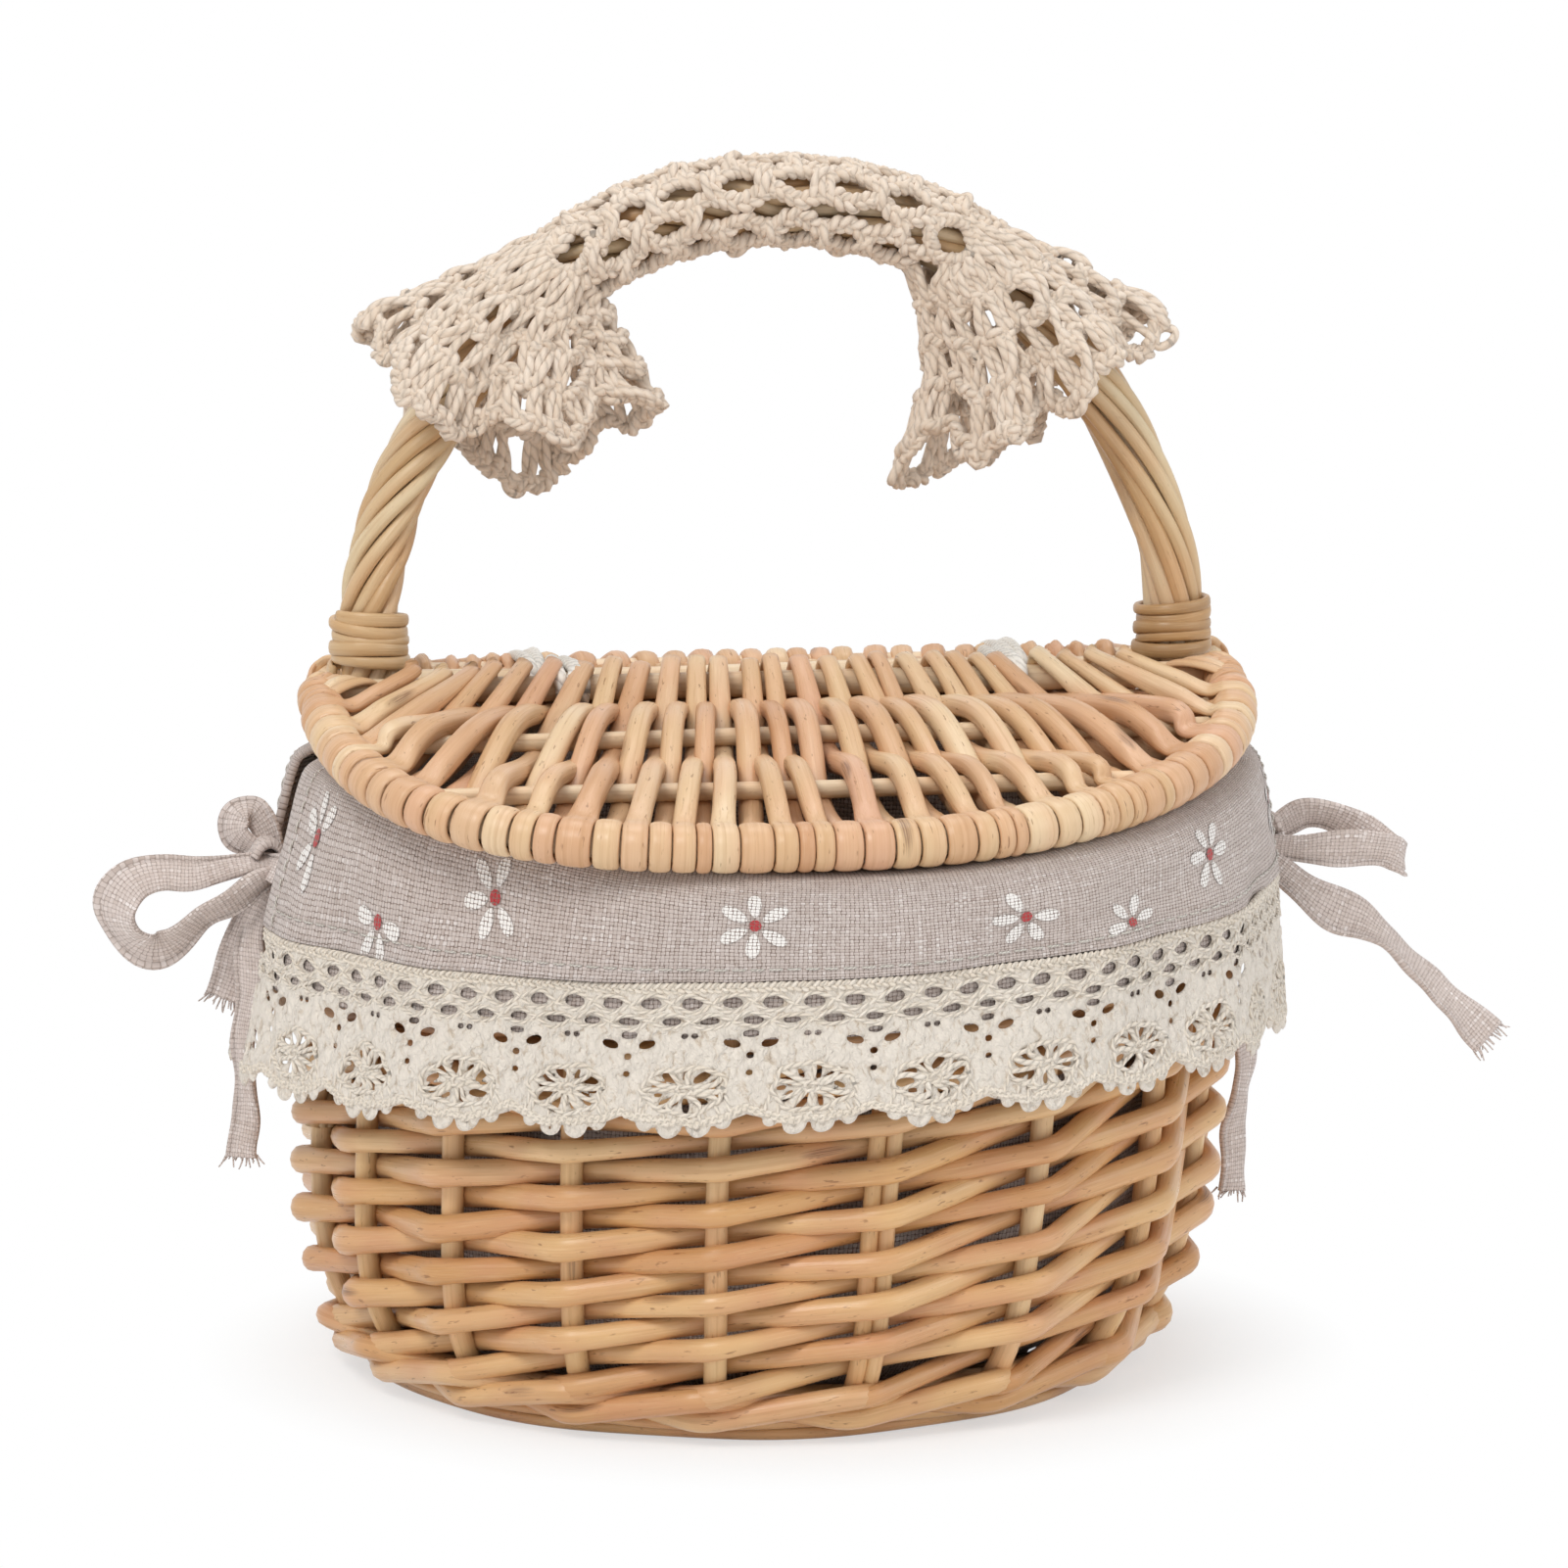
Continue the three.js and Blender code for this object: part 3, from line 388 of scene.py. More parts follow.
def linen(name, printed=False, light=1.0, gap=(134, 118, 109), relief=0.6):
    """Uneven threads in plain weave, with painted shade in the gaps between them; where it is printed, 'rnd'
    picks the paint.
    """
    s = Shade(name)
    lay = s.attr("lay")
    sway = s.noise(s.scaled(lay, 0.07, 0.07, 0.0), detail=3)
    xyz = s.node("SeparateXYZ", Vector=lay)
    u = s.math("MULTIPLY_ADD", xyz, 1 / WARP, s.times(sway, 1.4))
    v = s.math("MULTIPLY_ADD", xyz.node.outputs[1], 1 / WEFT, s.times(sway, 1.6))
    high, odd = weave_height(s, u, v)
    warp = s.node("CombineXYZ", X=s.math("FLOOR", u), Y=s.times(v, 0.09))
    weft = s.node("CombineXYZ", X=s.times(u, 0.07), Y=s.math("FLOOR", v), Z=7.3)
    warp, weft = (s.noise(place, scale=0.83, detail=2) for place in (warp, weft))
    thread = s.plus(s.times(warp, odd), s.times(weft, s.minus(1.0, odd)))
    cloth = s.ramp(thread, [(at, srgb(*(light * c for c in tone))) for at, tone in CLOTH])
    fuzz = s.noise(lay, 2.6, 4, 0.7)
    cloth = s.mix(s.ranged(fuzz, 0.45, 0.8, 0.0, 0.3), cloth, srgb(*FIBRE))
    slack = s.noise(s.scaled(lay, 0.5, 0.55, 0.0), detail=2)
    # painted shade: where the threads lie low the colour goes to the darker gap tone, so the gaps of the
    # weave look shaded
    cover = s.ranged(s.plus(high, s.ranged(slack, 0.3, 0.7, 0.22, -0.16)), 0.2, 0.52, 0.0, 1.0)
    if printed:
        paint = s.mix(s.math("GREATER_THAN", s.attr("rnd"), 0.5), srgb(*PETAL), srgb(*POLLEN))
        cloth = s.mix(s.ranged(fuzz, 0.3, 0.66, 1.0, 0.82), cloth, paint)
    s.cotton(s.mix(cover, srgb(*gap), cloth), 0.92, 0.18, 0.25)
    s.bump(s.plus(high, s.times(fuzz, 0.3)), relief, 0.0004)
    return s.material


m_linen = linen("linen")
m_print = linen("linen_print", printed=True)
# painted light: the ties' linen is a lighter copy with lighter painted gap shade, so that the ties look lit
m_tie_lit = linen("linen_tie_lit", light=1.07, gap=(172, 157, 149), relief=0.45)


def yarn(name, light, dark, ply=2.0, pitch=0.85, fuzz=0.5):
    """Plied cotton: the plies wind round the strand, with painted shade in the grooves between them and soft
    fibre noise.
    """
    s = Shade(name)
    lay, rnd = s.attr("lay"), s.attr("rnd")
    xyz = s.node("SeparateXYZ", Vector=lay)
    turn = s.math("ARCTAN2", xyz.node.outputs[2], xyz.node.outputs[1])
    phase = s.plus(s.times(turn, ply), s.times(xyz, pitch * ply))
    twist = s.wave(s.times(phase, 0.5))
    fibre = s.noise(s.scaled(lay, 1.1, 3.0, 3.0), detail=4, rough=0.65)
    tone = s.noise(s.scaled(lay, 0.05, 0.2, 0.2), detail=2)
    colour = s.mix(s.ranged(tone, 0.35, 0.68, 0.0, 0.8), srgb(*light), srgb(*dark))
    # painted shade: the grooves between the plies are darkened towards a deeper tone of the yarn
    groove_shade = s.math("POWER", s.minus(1.0, twist), 2.4)
    deep = tuple(int(c * 0.7) for c in dark)
    colour = s.mix(s.times(groove_shade, 0.55), colour, srgb(*deep))
    colour = s.mix(s.ranged(fibre, 0.5, 0.78, 0.0, fuzz), colour, srgb(247, 240, 231))
    colour = s.mix(s.ranged(rnd, 0.0, 1.0, 0.0, 0.22), colour, srgb(*dark))
    s.cotton(colour, 0.88, 0.2, 0.3)
    s.bump(s.plus(s.times(twist, 0.9), s.times(fibre, 0.5)), 0.8, 0.0006)
    return s.material


m_crochet = yarn("crochet_yarn", (236, 221, 205), (222, 201, 179))
m_cord = yarn("white_cord", (250, 248, 242), (240, 234, 224), ply=3.0, pitch=0.8, fuzz=0.7)
m_edge = yarn("lace_yarn", (244, 235, 222), (231, 218, 200), pitch=1.3)
m_thread = yarn("sewing_thread", (242, 238, 230), (224, 216, 204), pitch=3.0)


def lace_material():
    s = Shade("lace_cotton")
    lay = s.attr("lay")
    wander = s.noise(lay, 0.28, 3)
    wander = s.scaled(s.node("CombineXYZ", X=wander, Y=wander), 5.0, 5.0, 0.0)
    bent = s.node("VectorMath", i0=wander, i1=lay)
    cell = s.scaled(bent, 0.95, 0.5, 1.0)
    cell = s.node("TexVoronoi", props={"feature": "SMOOTH_F1"}, Vector=cell, Scale=1.0)
    ply = s.noise(s.scaled(bent, 2.2, 0.9, 1.0), detail=4, rough=0.6)
    grain = s.noise(lay, 3.4, 3)
    height = s.plus(s.times(s.minus(1.0, cell), 1.2), s.times(ply, 0.9))
    # painted shade: the cotton runs from a darker tone where it lies low to a lighter one where it stands
    # high
    tones = ((0.66, (198, 181, 161)), (0.9, (229, 217, 202)), (1.0, (240, 231, 219)))
    colour = s.ramp(height, [(at, srgb(*tone)) for at, tone in tones])
    colour = s.mix(s.ranged(grain, 0.5, 0.8, 0.0, 0.5), colour, srgb(238, 230, 219))
    s.cotton(colour, 0.9, 0.18, 0.25)
    s.bump(s.plus(height, s.times(grain, 0.25)), 0.9, 0.0009)
    return s.material


m_lace = lace_material()


# Bowl

def stake_half(z):
    """Half width of the ring of stakes at a height."""
    return STAKE_LINE - FOOT_TUCK * np.exp(-np.asarray(z, float) / TUCK_HEIGHT)


def level(z):
    """Length of a level step across the wall for one straight through it."""
    return np.hypot(1.0, FOOT_TUCK / TUCK_HEIGHT * np.exp(-np.asarray(z, float) / TUCK_HEIGHT))


def bowl_lean(z):
    return BOWL_LEAN * np.clip((LEAN_TOP - np.asarray(z, float)) / (LEAN_TOP - LEAN_FOOT), 0, 1)


def plan(angle, half, off, z):
    """A point at an angle on the bowl's oval of a half width, 'off' further out."""
    angle, half, off, z = np.broadcast_arrays(angle, half, off, z)
    x = (half + off) * np.cos(angle) - bowl_lean(z)
    return np.stack([x, (half * PLAN_RATIO + off) * np.sin(angle), z.astype(float)], -1)


def on_wall(angle, z, off):
    return plan(angle, stake_half(z), off * level(z), z)


def border_z(angle):
    return BORDER_MID_Z + BORDER_RISE * np.cos(2 * np.asarray(angle))


def wall_angle(step):
    """Angle of a place round the wall counted in stakes."""
    even = np.asarray(step, float) * STAKE_STEP
    return even - STAKE_DRIFT * np.sin(even) ** 2


def cornered(s, stop, knots, soft=0.085):
    """Straight runs between knots, with a short bend at each."""
    spread = np.linspace(-soft, soft, 9)
    return np.mean([[np.interp(s + d, stop, column) for column in knots.T] for d in spread], axis=0).T


ROD_START_Z = 15.0
ROD_REACH = 20.3  # stakes that a rod passes on its way up
ROD_TOP_GAP = 7.2
ROD_OUT, ROD_IN = 5.8, -5.0  # a rod's middle from the stakes, outside and inside them

wall = Build()
for k in range(STAKES):
    stop = np.arange(-2, 23)
    at = wall_angle(k + stop)
    climb = (border_z(at) - ROD_TOP_GAP - ROD_START_Z) / ROD_REACH
    dip = 3.4 * np.clip((1.6 - stop) / 2.2, 0, 1.2) ** 1.4
    z = ROD_START_Z + stop * climb + rng.normal(0, 0.6, len(stop)) - dip
    over = np.where(stop % 2 == 0, ROD_OUT, ROD_IN) + rng.normal(0, 0.2, len(stop))
    s = np.linspace(-0.9, ROD_REACH + 0.3, 640)
    path = cornered(s, stop, on_wall(at, np.maximum(z, 6.0), over))
    pressed = np.exp(-((((s + 0.5) % 1.0) - 0.5) / 0.12) ** 2)
    taper = np.interp(s, [-0.5, 3, 14, 21], [1.0, 1.03, 1.0, 0.9])
    thick = np.interp(s, stop, climb) / 2 * rng.uniform(0.9, 1.08) * taper
    thick = thick * (1 + 0.05 * np.sin(s * 2.3 + rng.uniform(0, TAU)))
    wide, deep = thick * (1 - 0.12 * pressed), thick * (1 + 0.07 * pressed)
    wall.tube(path, wide, deep, sides=12, up=UP, rnd=rng.uniform())
wall.make("wall_rods", m_willow, "basket", "willow", ["weave_outer", "weave_inner"])

STAKE_R, TWIN_R = 2.75, 2.1
TWINS = (4, 14)  # places where two thin stakes stand side by side
STAKE_FOOT_Z = 3.2
UNDER_LEG_Z = 66.0  # stakes below the handle's legs end where those begin
BORDER_ROLL, BORDER_ROD, BORDER_TURNS = 2.05, 2.2, 34

cage = Build()
for j in range(STAKES):
    angle = float(wall_angle(j))
    twin = j in TWINS
    head = UNDER_LEG_Z if j in (0, STAKES // 2) else float(border_z(angle))
    for shift in (-1.05, 1.05) if twin else (0.0,):
        z = np.linspace(STAKE_FOOT_Z, head, 40)
        sway = math.radians(shift) + 0.006 * np.sin(z / 17 + j)
        r = (TWIN_R if twin else STAKE_R) * np.interp(z, [0, 150], [1.05, 0.95])
        cage.tube(on_wall(angle + sway, z, 0.0), r, sides=10, up=(-math.sin(angle), math.cos(angle), 0))
for sign in (-1, 1):
    a = sign * np.linspace(0.085, PI - 0.085, 220)
    for k in range(3):
        turn = a * BORDER_TURNS + k * TAU / 3
        z = border_z(a) + BORDER_ROLL * np.sin(turn)
        cage.tube(plan(a, STAKE_LINE, BORDER_ROLL * np.cos(turn), z), BORDER_ROD, sides=8, up=UP)
cage.make("stakes_and_border", m_stake, "basket", "stakes", ["stakes_front", "stakes_rear"])

FOOT_ROD = 3.05
FOOT_Z = (6.3, 12.8, 9.6)
FOOT_OFF = (5.6, 5.2, -3.4)
FOOT_LEFT = 2.0

foot = Build()
stop = np.arange(-2, STAKES + 3)
for k in range(3):
    # each rod climbs outside two stakes and then passes behind one
    turn = (stop + k) % 3
    z = np.choose(turn, FOOT_Z)
    knots = plan(wall_angle(stop), stake_half(z), np.choose(turn, FOOT_OFF) * level(z), z)
    path = cornered(np.linspace(0, STAKES, 541)[:-1], stop, knots, 0.1) - (FOOT_LEFT, 0, 0)
    foot.tube(path, FOOT_ROD, sides=10, up=UP, closed=True, rnd=0.15 + 0.3 * k)
foot.make("foot_wale_rods", m_willow, "basket", "willow", ["foot_wale"])

# Half width, height and radius of the rods round the edge of the base
SOLE = (
    (94.6, 1.9, 1.75), (91.4, 2.2, 1.7), (88.2, 2.5, 1.6), (85.2, 2.2, 1.6),
    (96.8, 4.6, 1.5), (95.6, 7.6, 1.9), (92.2, 6.4, 1.9),
)
SOLE_LEFT = 2.5
COIL_START, COIL_PITCH, COIL_TURNS, COIL_ROD = 14.0, 2.6, 26, 1.35
STICK_Z, STICK_R, STICK_GAP = 3.4, 2.2, 9.0

sole = Build()
a = np.linspace(0, TAU, 361)[:-1]
for half, z, r in SOLE:
    ring = plan(a, half + 0.3 * np.sin(a * 7 + half), 0, z + 0.25 * np.sin(a * 9 + half))
    sole.tube(ring - (SOLE_LEFT, 0, 0), r, sides=8, up=UP, closed=True)
s = np.linspace(0, COIL_TURNS, 1900)
ring = COIL_START + COIL_PITCH * s
wave = COIL_ROD * np.cos(s * TAU * 8.5)
coil = np.stack([ring * np.cos(s * TAU) - BOWL_LEAN, ring * PLAN_RATIO * np.sin(s * TAU), 3.6 + wave], -1)
sole.tube(coil, COIL_ROD, sides=6, up=UP)
for across in (False, True):
    for shift in (-STICK_GAP, 0.0, STICK_GAP):
        for half in (-1, 1):
            line = np.stack([np.linspace(2, 77, 20) * half, np.full(20, shift), np.full(20, STICK_Z)], -1)
            line = line[:, [1, 0, 2]] * (1, PLAN_RATIO, 1) if across else line
            sole.tube(line - (BOWL_LEAN, 0, 0), STICK_R, sides=8, up=UP)
sole.make("base_rods", m_willow, "basket", "peeled", ["base_weave", "base_sticks"])


# Handle

def arch(t):
    t = np.asarray(t, float)
    x = HANDLE_HALF * np.cos(t) * (1 - BOW_WAIST * np.sin(2 * t) ** 2)
    return np.stack([x, 0 * t, ARCH_Z + HANDLE_ARCH * np.sin(t)], -1)


LEG = [(STAKE_LINE, 0, 62), (112.4, 0, 110), (111.0, 0, 150), (105.6, 0, 166), (HANDLE_HALF, 0, 178)]
TWIST_RODS = 9
TWIST_R = 5.55  # from the bow's line to the middle of a twisted rod
TURN_LEFT, TURN_RIGHT = 177, 85  # length of one turn of the twist on each half

bow = np.vstack([LEG, arch(np.linspace(0.04, PI - 0.04, 25)), [(-x, y, z) for x, y, z in reversed(LEG)]])
bow = spline(bow, 420)
bow[:, 0] -= bowl_lean(bow[:, 2])
handle = Build()
run = run_along(bow)
share = run / run[-1]
past = run - run[-1] / 2
t, side, top = frames(bow, (0, 1, 0))
tight = np.interp(bow[:, 2], [60, 150, 168, 180], [0.45, 0.5, 0.95, 1.0])
for k in range(TWIST_RODS):
    turn = np.where(past < 0, -TAU * past / TURN_LEFT, TAU * past / TURN_RIGHT)
    turn = turn + k * TAU / TWIST_RODS + 0.10 * np.sin(share * 40 + k)
    r = (TWIST_R + 0.35 * np.sin(share * 23 + k * 2)) * tight
    path = bow + side * (r * np.cos(turn))[:, None] + top * (r * np.sin(turn))[:, None]
    thick = rng.uniform(1.85, 2.2) * np.interp(tight, [0.45, 1], [0.72, 1])
    handle.tube(path, thick, sides=9, rnd=k / (TWIST_RODS - 1))
handle.tube(bow, 4.2 * tight, sides=8, up=(0, 1, 0))
handle.make("handle_rods", m_twist, "basket", "stakes", ["handle_core", "handle_twist"])

BAR_R = 3.3

bar = Build()
x = np.linspace(-96, 96, 40)
bar.tube(np.stack([x, 0.3 * np.sin(x / 19), BAR_Z + 0.3 * np.sin(x / 23)], -1), BAR_R, sides=12, up=UP)
bar.make("hinge_rod", m_peel, "basket", "peeled", ["hinge_bar"])

BINDING_TURNS, BINDING_PITCH, BINDING_R = 5.0, 2.7, 8.8
SKEIN_HALF, SKEIN_THICK = 1.6, 0.95

for name, sign in SIDES:
    skein = Build()
    s = np.linspace(0, BINDING_TURNS, 301)
    ang = s * TAU + 0.7 + sign
    rise = BAR_Z + 4.2 + BINDING_PITCH * s + 0.5 * np.sin(s * 5 + sign) + 0.45 * np.sin(ang + s * 1.9)
    above = np.maximum(0, rise - ARCH_Z) / HANDLE_ARCH
    leg_x = HANDLE_HALF * np.sqrt(1 - above**2)
    r = BINDING_R + 0.4 * np.sin(s * PI + 1) + np.interp(s, [0, 1, 4, 5], [0.7, 0.2, 0.1, 0.0])
    path = np.stack([sign * (leg_x + r * np.cos(ang)), r * np.sin(ang), rise], -1)
    out = np.stack([sign * np.cos(ang), np.sin(ang), 0 * ang], -1)
    wide = SKEIN_HALF + 0.3 * np.sin(s * 4.1)
    skein.tube(path, wide, SKEIN_THICK, sides=12, up=out, rnd=0.5 + 0.2 * sign, square=0.8)
    skein.make(f"binding_{name}_skein", m_skein, "basket", "peeled", [f"binding_{name}"])


# Lids

LID_RODS = 54
HOOP_R, RIB_R = 3.4, 2.25
BACK_HALF = 111  # half length of a lid's back bar
BACK_RODS = 94.0  # half of the stretch on which rods are wound round it
LOOP_CLEAR, LOOP_ASIDE = 2.6, 2.8  # a rod nearer than this to a cord loop moves aside by so much
RIB_INSET = 4.2  # ribs end this far inside the hoop's line
ROD_HALF = 2.8
SKEIN_CORNER = 15.0  # stretch of hoop at each end that has no rods, only skein
CORNER_TURNS = (-1.6, 1.0, 3.4, 5.8, 8.4)  # how far in each turn of skein lies at a lid's corner
CORD_R, CORD_GAP, CORD_HIGH = 1.6, 1.9, 5.1
# How a rod passes round the hoop: distance out from its line and height over it
ROUND_HOOP = ((-2.4, 4.4), (2.2, 4.5), (4.9, 1.7), (5.0, -1.7), (2.2, -4.5), (-3.0, -4.4), (-10.0, -2.9))


def lid(name, sign, loop_x):
    """Hoop, bars, folded rods and cord loops of one lid; sign is -1 for the front."""
    cs, sn = math.cos(LID_SLOPE), math.sin(LID_SLOPE)
    shift = sign * LID_SHIFT

    def place(x, u, w):
        """A point of the lid: x along the hinge, u away from it, w above the lid's plane."""
        x, u, w = np.broadcast_arrays(np.asarray(x, float), u, w)
        return np.stack([x, sign * (HINGE_Y + u * cs + w * sn), BAR_Z - u * sn + w * cs], -1)

    def hoop_point(t):
        """The hoop is an oval, fuller at the corner that the lid is set towards."""
        c, s = np.cos(t), np.sin(t)
        e = np.where(c * sign > 0, 2 / LID_CORNER, 1.0)
        return np.stack([shift + LID_HALF * np.sign(c) * np.abs(c) ** e, LID_DEPTH * np.abs(s) ** e], -1)

    flat = (place(0, 0, 1) - place(0, 0, 0)).reshape(3)
    hoop = spline(hoop_point(np.linspace(0, PI, 91)), 401)
    hoop_way = unit(np.gradient(hoop, axis=0))
    hoop_run = run_along(hoop)

    def on_hoop(run):
        """Point of the hoop after a length along it, and the way out from it there."""
        x, u, dx, du = (np.interp(run, hoop_run, column) for column in (*hoop.T, *hoop_way.T))
        return np.stack([x, u], -1), np.stack([du, -dx], -1)

    bars = Build()
    bars.tube(place(hoop[::3, 0], hoop[::3, 1], 0), HOOP_R, sides=10, up=flat)
    bars.tube(place(np.linspace(-BACK_HALF, BACK_HALF, 40) + shift, 0, 0), BAR_R, sides=10, up=flat)
    for u in RIBS:
        far = (u + 2.2) / (LID_DEPTH - RIB_INSET)
        ends = []
        for way in (-1, 1):
            power = LID_CORNER if way * sign > 0 else 2.0
            ends.append(shift + way * (LID_HALF - RIB_INSET) * (1 - far**power) ** (1 / power))
        x = np.linspace(*ends, 40)
        bars.tube(place(x, u + 0.5 * np.sin(x / 21 + u), 0), RIB_R, sides=10, up=flat)
    nodes = [f"{name}_{piece}" for piece in ("hoop", "back_bar", "rib_1", "rib_2")]
    bars.make(f"{name}_bars", m_peel, name, "peeled", nodes)

    rods = Build()
    width = rng.uniform(0.55, 1.45, LID_RODS)
    width /= width.mean()
    mids = (np.cumsum(width) - width / 2) / width.sum()
    first, last = SKEIN_CORNER, hoop_run[-1] - SKEIN_CORNER
    pitch = (last - first) / LID_RODS
    # the rear lid's rods are pressed flatter on its back bar
    crowns = 5.2 + rng.uniform(-0.7, 0.7, LID_RODS) if sign < 0 else np.full(LID_RODS, 2.9)
    broad = 0.78 if sign < 0 else 1.0
    for i, f in enumerate(mids):
        (hx, hu), (nx, nu) = on_hoop(first + (last - first) * f)
        bx = shift + BACK_RODS - 2 * BACK_RODS * f
        if min(abs(bx - loop_x), abs(bx + loop_x)) < LOOP_CLEAR:
            bx += LOOP_ASIDE if (bx > 0) == (abs(bx) > loop_x) else -LOOP_ASIDE
        d = np.array([hx - bx, hu])
        dx, du = 0.65 * d / np.linalg.norm(d) + 0.35 * np.array([nx, nu])
        over = 1 if i % 2 else -1
        crown = crowns[i]
        jig = rng.uniform(-1.2, 1.2, 4)
        away = bx + (hx - bx) * 0.05
        # along the rod: round the back bar, over and under the ribs, then round the hoop
        if over > 0:
            line = [(bx + 0.3, 5.0, -4.4), (bx, -0.6, -5.2), (bx, -4.9, -0.6)]
            line += [(bx, -2.4, crown - 0.7), (away, 3.4, crown)]
        else:
            line = [(bx, -5.0, 1.0), (bx, -3.4, -3.6), (away, 3.4, -4.9)]
        for k, u in enumerate(RIBS):
            if u < hu - 10:
                line.append((bx + (hx - bx) * u / hu + jig[k], u, 4.4 * over * (1 if k % 2 else -1)))
        line.append((hx - dx * 9.0, hu - du * 9.0, 2.7 if line[-1][2] > 0 else -0.6))
        line += [(hx + nx * out, hu + nu * out, rise) for out, rise in ROUND_HOOP]
        line = spline(line, 84)
        hug = np.clip((np.hypot(line[:, 0] - hx, line[:, 1] - hu) - 6) / 9, 0, 1)
        near_back = np.clip((line[:, 1] + 6) / 26, 0, 1)
        round_half = ROD_HALF * (0.7 + 0.3 * width[i]) * (broad + (1 - broad) * near_back)
        half_wide = hug * round_half + (1 - hug) * 0.49 * pitch * width[i]
        half_thick = hug * round_half * (0.55 + 0.4 * near_back) + (1 - hug) * 1.05
        path = place(line[:, 0], line[:, 1], line[:, 2])
        tan = unit(np.gradient(path, axis=0))
        wide = place(-nu, nx, 0) - place(0, 0, 0)
        side = unit(wide - tan * (tan @ wide)[:, None])
        top = np.cross(tan, side)
        rods.tube(path, half_wide, half_thick, sides=12, up=top, rnd=rng.uniform(), square=0.8)
    for way in (-1, 1):
        # flat skein wound over the corner of hoop and back bar, then along the hoop
        corner = np.array([shift + way * LID_HALF, 0.0])
        inward = np.array([-way, 1.0]) / math.sqrt(2)
        across = np.array([way, 1.0]) / math.sqrt(2)
        ang = np.linspace(0, TAU, 41)[:-1]
        for k, deep in enumerate(CORNER_TURNS):
            reach = 5.0 + 0.8 * max(deep, 0)
            tilt = (0.9 * np.sin(ang + k))[:, None]
            ring = corner + inward * (deep + 1.2 + tilt) + across * (reach * np.cos(ang))[:, None]
            path = place(ring[:, 0], ring[:, 1], (4.7 + 0.25 * (k % 2)) * np.sin(ang))
            out = path - place(*(corner + inward * deep), 0)
            rods.tube(path, 1.8, 0.7, sides=8, up=out, closed=True, rnd=0.2 + 0.15 * k, square=0.7)
        s = np.linspace(0, 1, 200)
        along = 3.0 + 17.0 * s
        mid, normal = on_hoop(along if way > 0 else hoop_run[-1] - along)
        ang = s * TAU * 4.6
        r = 4.75 + 0.25 * np.sin(s * 40)
        ring = mid + normal * (r * np.cos(ang))[:, None]
        path = place(ring[:, 0], ring[:, 1], r * np.sin(ang))
        out = path - place(mid[:, 0], mid[:, 1], 0 * ang)
        rods.tube(path, 2.1 + 0.4 * np.sin(s * 9), 0.75, sides=8, up=out, rnd=0.35, square=0.7)
    rods.make(f"{name}_rods", m_lid, name, "willow", [f"{name}_weave"])

    short = name.split("_")[0]
    for which, sx in SIDES:
        loop = Build()
        ang = np.linspace(0, TAU, 97)[:-1]
        half = HINGE_Y / 2
        y = sign * (half + half * np.tanh(2.2 * np.cos(ang)) / math.tanh(2.2) + 5.0 * np.cos(ang))
        z = BAR_Z + CORD_HIGH * np.sign(np.sin(ang)) * np.abs(np.sin(ang)) ** 0.55
        for turn in (-1, 0, 1):
            x = sx * loop_x + CORD_GAP * turn + np.sin(ang + turn * 2)
            strand = np.stack([x, y, z + 0.5 * turn * np.cos(ang)], -1)
            loop.tube(strand, CORD_R + 0.2 * np.sin(ang * 5 + turn), sides=10, up=(1, 0, 0), closed=True)
        loop.make(f"{short}_cord_{which}", m_cord, "basket", "cord", [f"{short}_loop_{which}"])


lid("front_lid", -1, LOOP_X)
lid("rear_lid", 1, LOOP_X + LOOP_STEP)


# Liner bag and cuff

SLIT = math.asin(11.0 / (STAKE_LINE * PLAN_RATIO))
CUFF_R = 124.0  # millimetres of cuff for a radian round the bowl
CUFF_LONG = 78.0  # length of the cuff's profile
CUFF_HALF_THICK, HEM_EXTRA, HEM_WIDE = 0.62, 0.45, 10.5
HEM_DROP = 13.5
CROWN, CUFF_SIDE = 5.2, 9.4
SEAM_Z = 119.3
STITCH_IN = 10.0  # the stitched seam's distance from the end of a cuff
BAG_HALF_THICK = 0.45
BAG_FLOOR_HALF, BAG_FLOOR_Z = 77.0, 8.2
BAG_CORNER_HALF, BAG_CORNER_Z = 80.0, 9.4
BAG_TOP_GAP = 9.4


def seam_z(a):
    return SEAM_Z + np.cos(2 * a) + 4.8 * np.cos(a)


def side_flare(a):
    """The cuff stands off at the ties, most of all behind the right one."""
    right = np.clip(np.cos(a), 0, 1)
    behind = np.sin(a) > 0
    return np.where(behind | (np.cos(a) < 0), 4.0, 0.8) * np.cos(a) ** 6 + 6.5 * right**24 * behind


def fold(a):
    return 1.8 * (0.5 - 0.5 * np.cos(14 * a))


def crumple(a, v):
    """Soft irregular waves in the cloth, in millimetres."""
    return (
        0.55 * np.sin(9.3 * a + 3.1 * v + 0.4)
        + 0.42 * np.sin(17.7 * a - 4.3 * v + 1.9)
        + 0.3 * np.sin(5.1 * a + 7.7 * v + 2.2)
        + 0.2 * np.sin(31.0 * a + 5.0 * v)
    )


def cuff_line(a):
    """Profile points of the cuff's middle surface: (offset, rise from the border) for each angle."""
    drop = border_z(a) - seam_z(a)
    wave = fold(a) + side_flare(a)
    line = (
        (-9.9, -8.6), (-9.9, 0), (-0.66 * CUFF_SIDE, CROWN * 0.9), (0, CROWN + 0.7),
        (0.66 * CUFF_SIDE, CROWN * 0.9), (CUFF_SIDE + 0.7, 0),
        (CUFF_SIDE + 2.2 + 0.5 * wave, -0.5 * drop), (SEAM_OFF + 0.7 + wave, -drop + 0.2),
    )
    return np.stack([np.stack([off + 0 * a, rise + 0 * a], -1) for off, rise in line], -2)


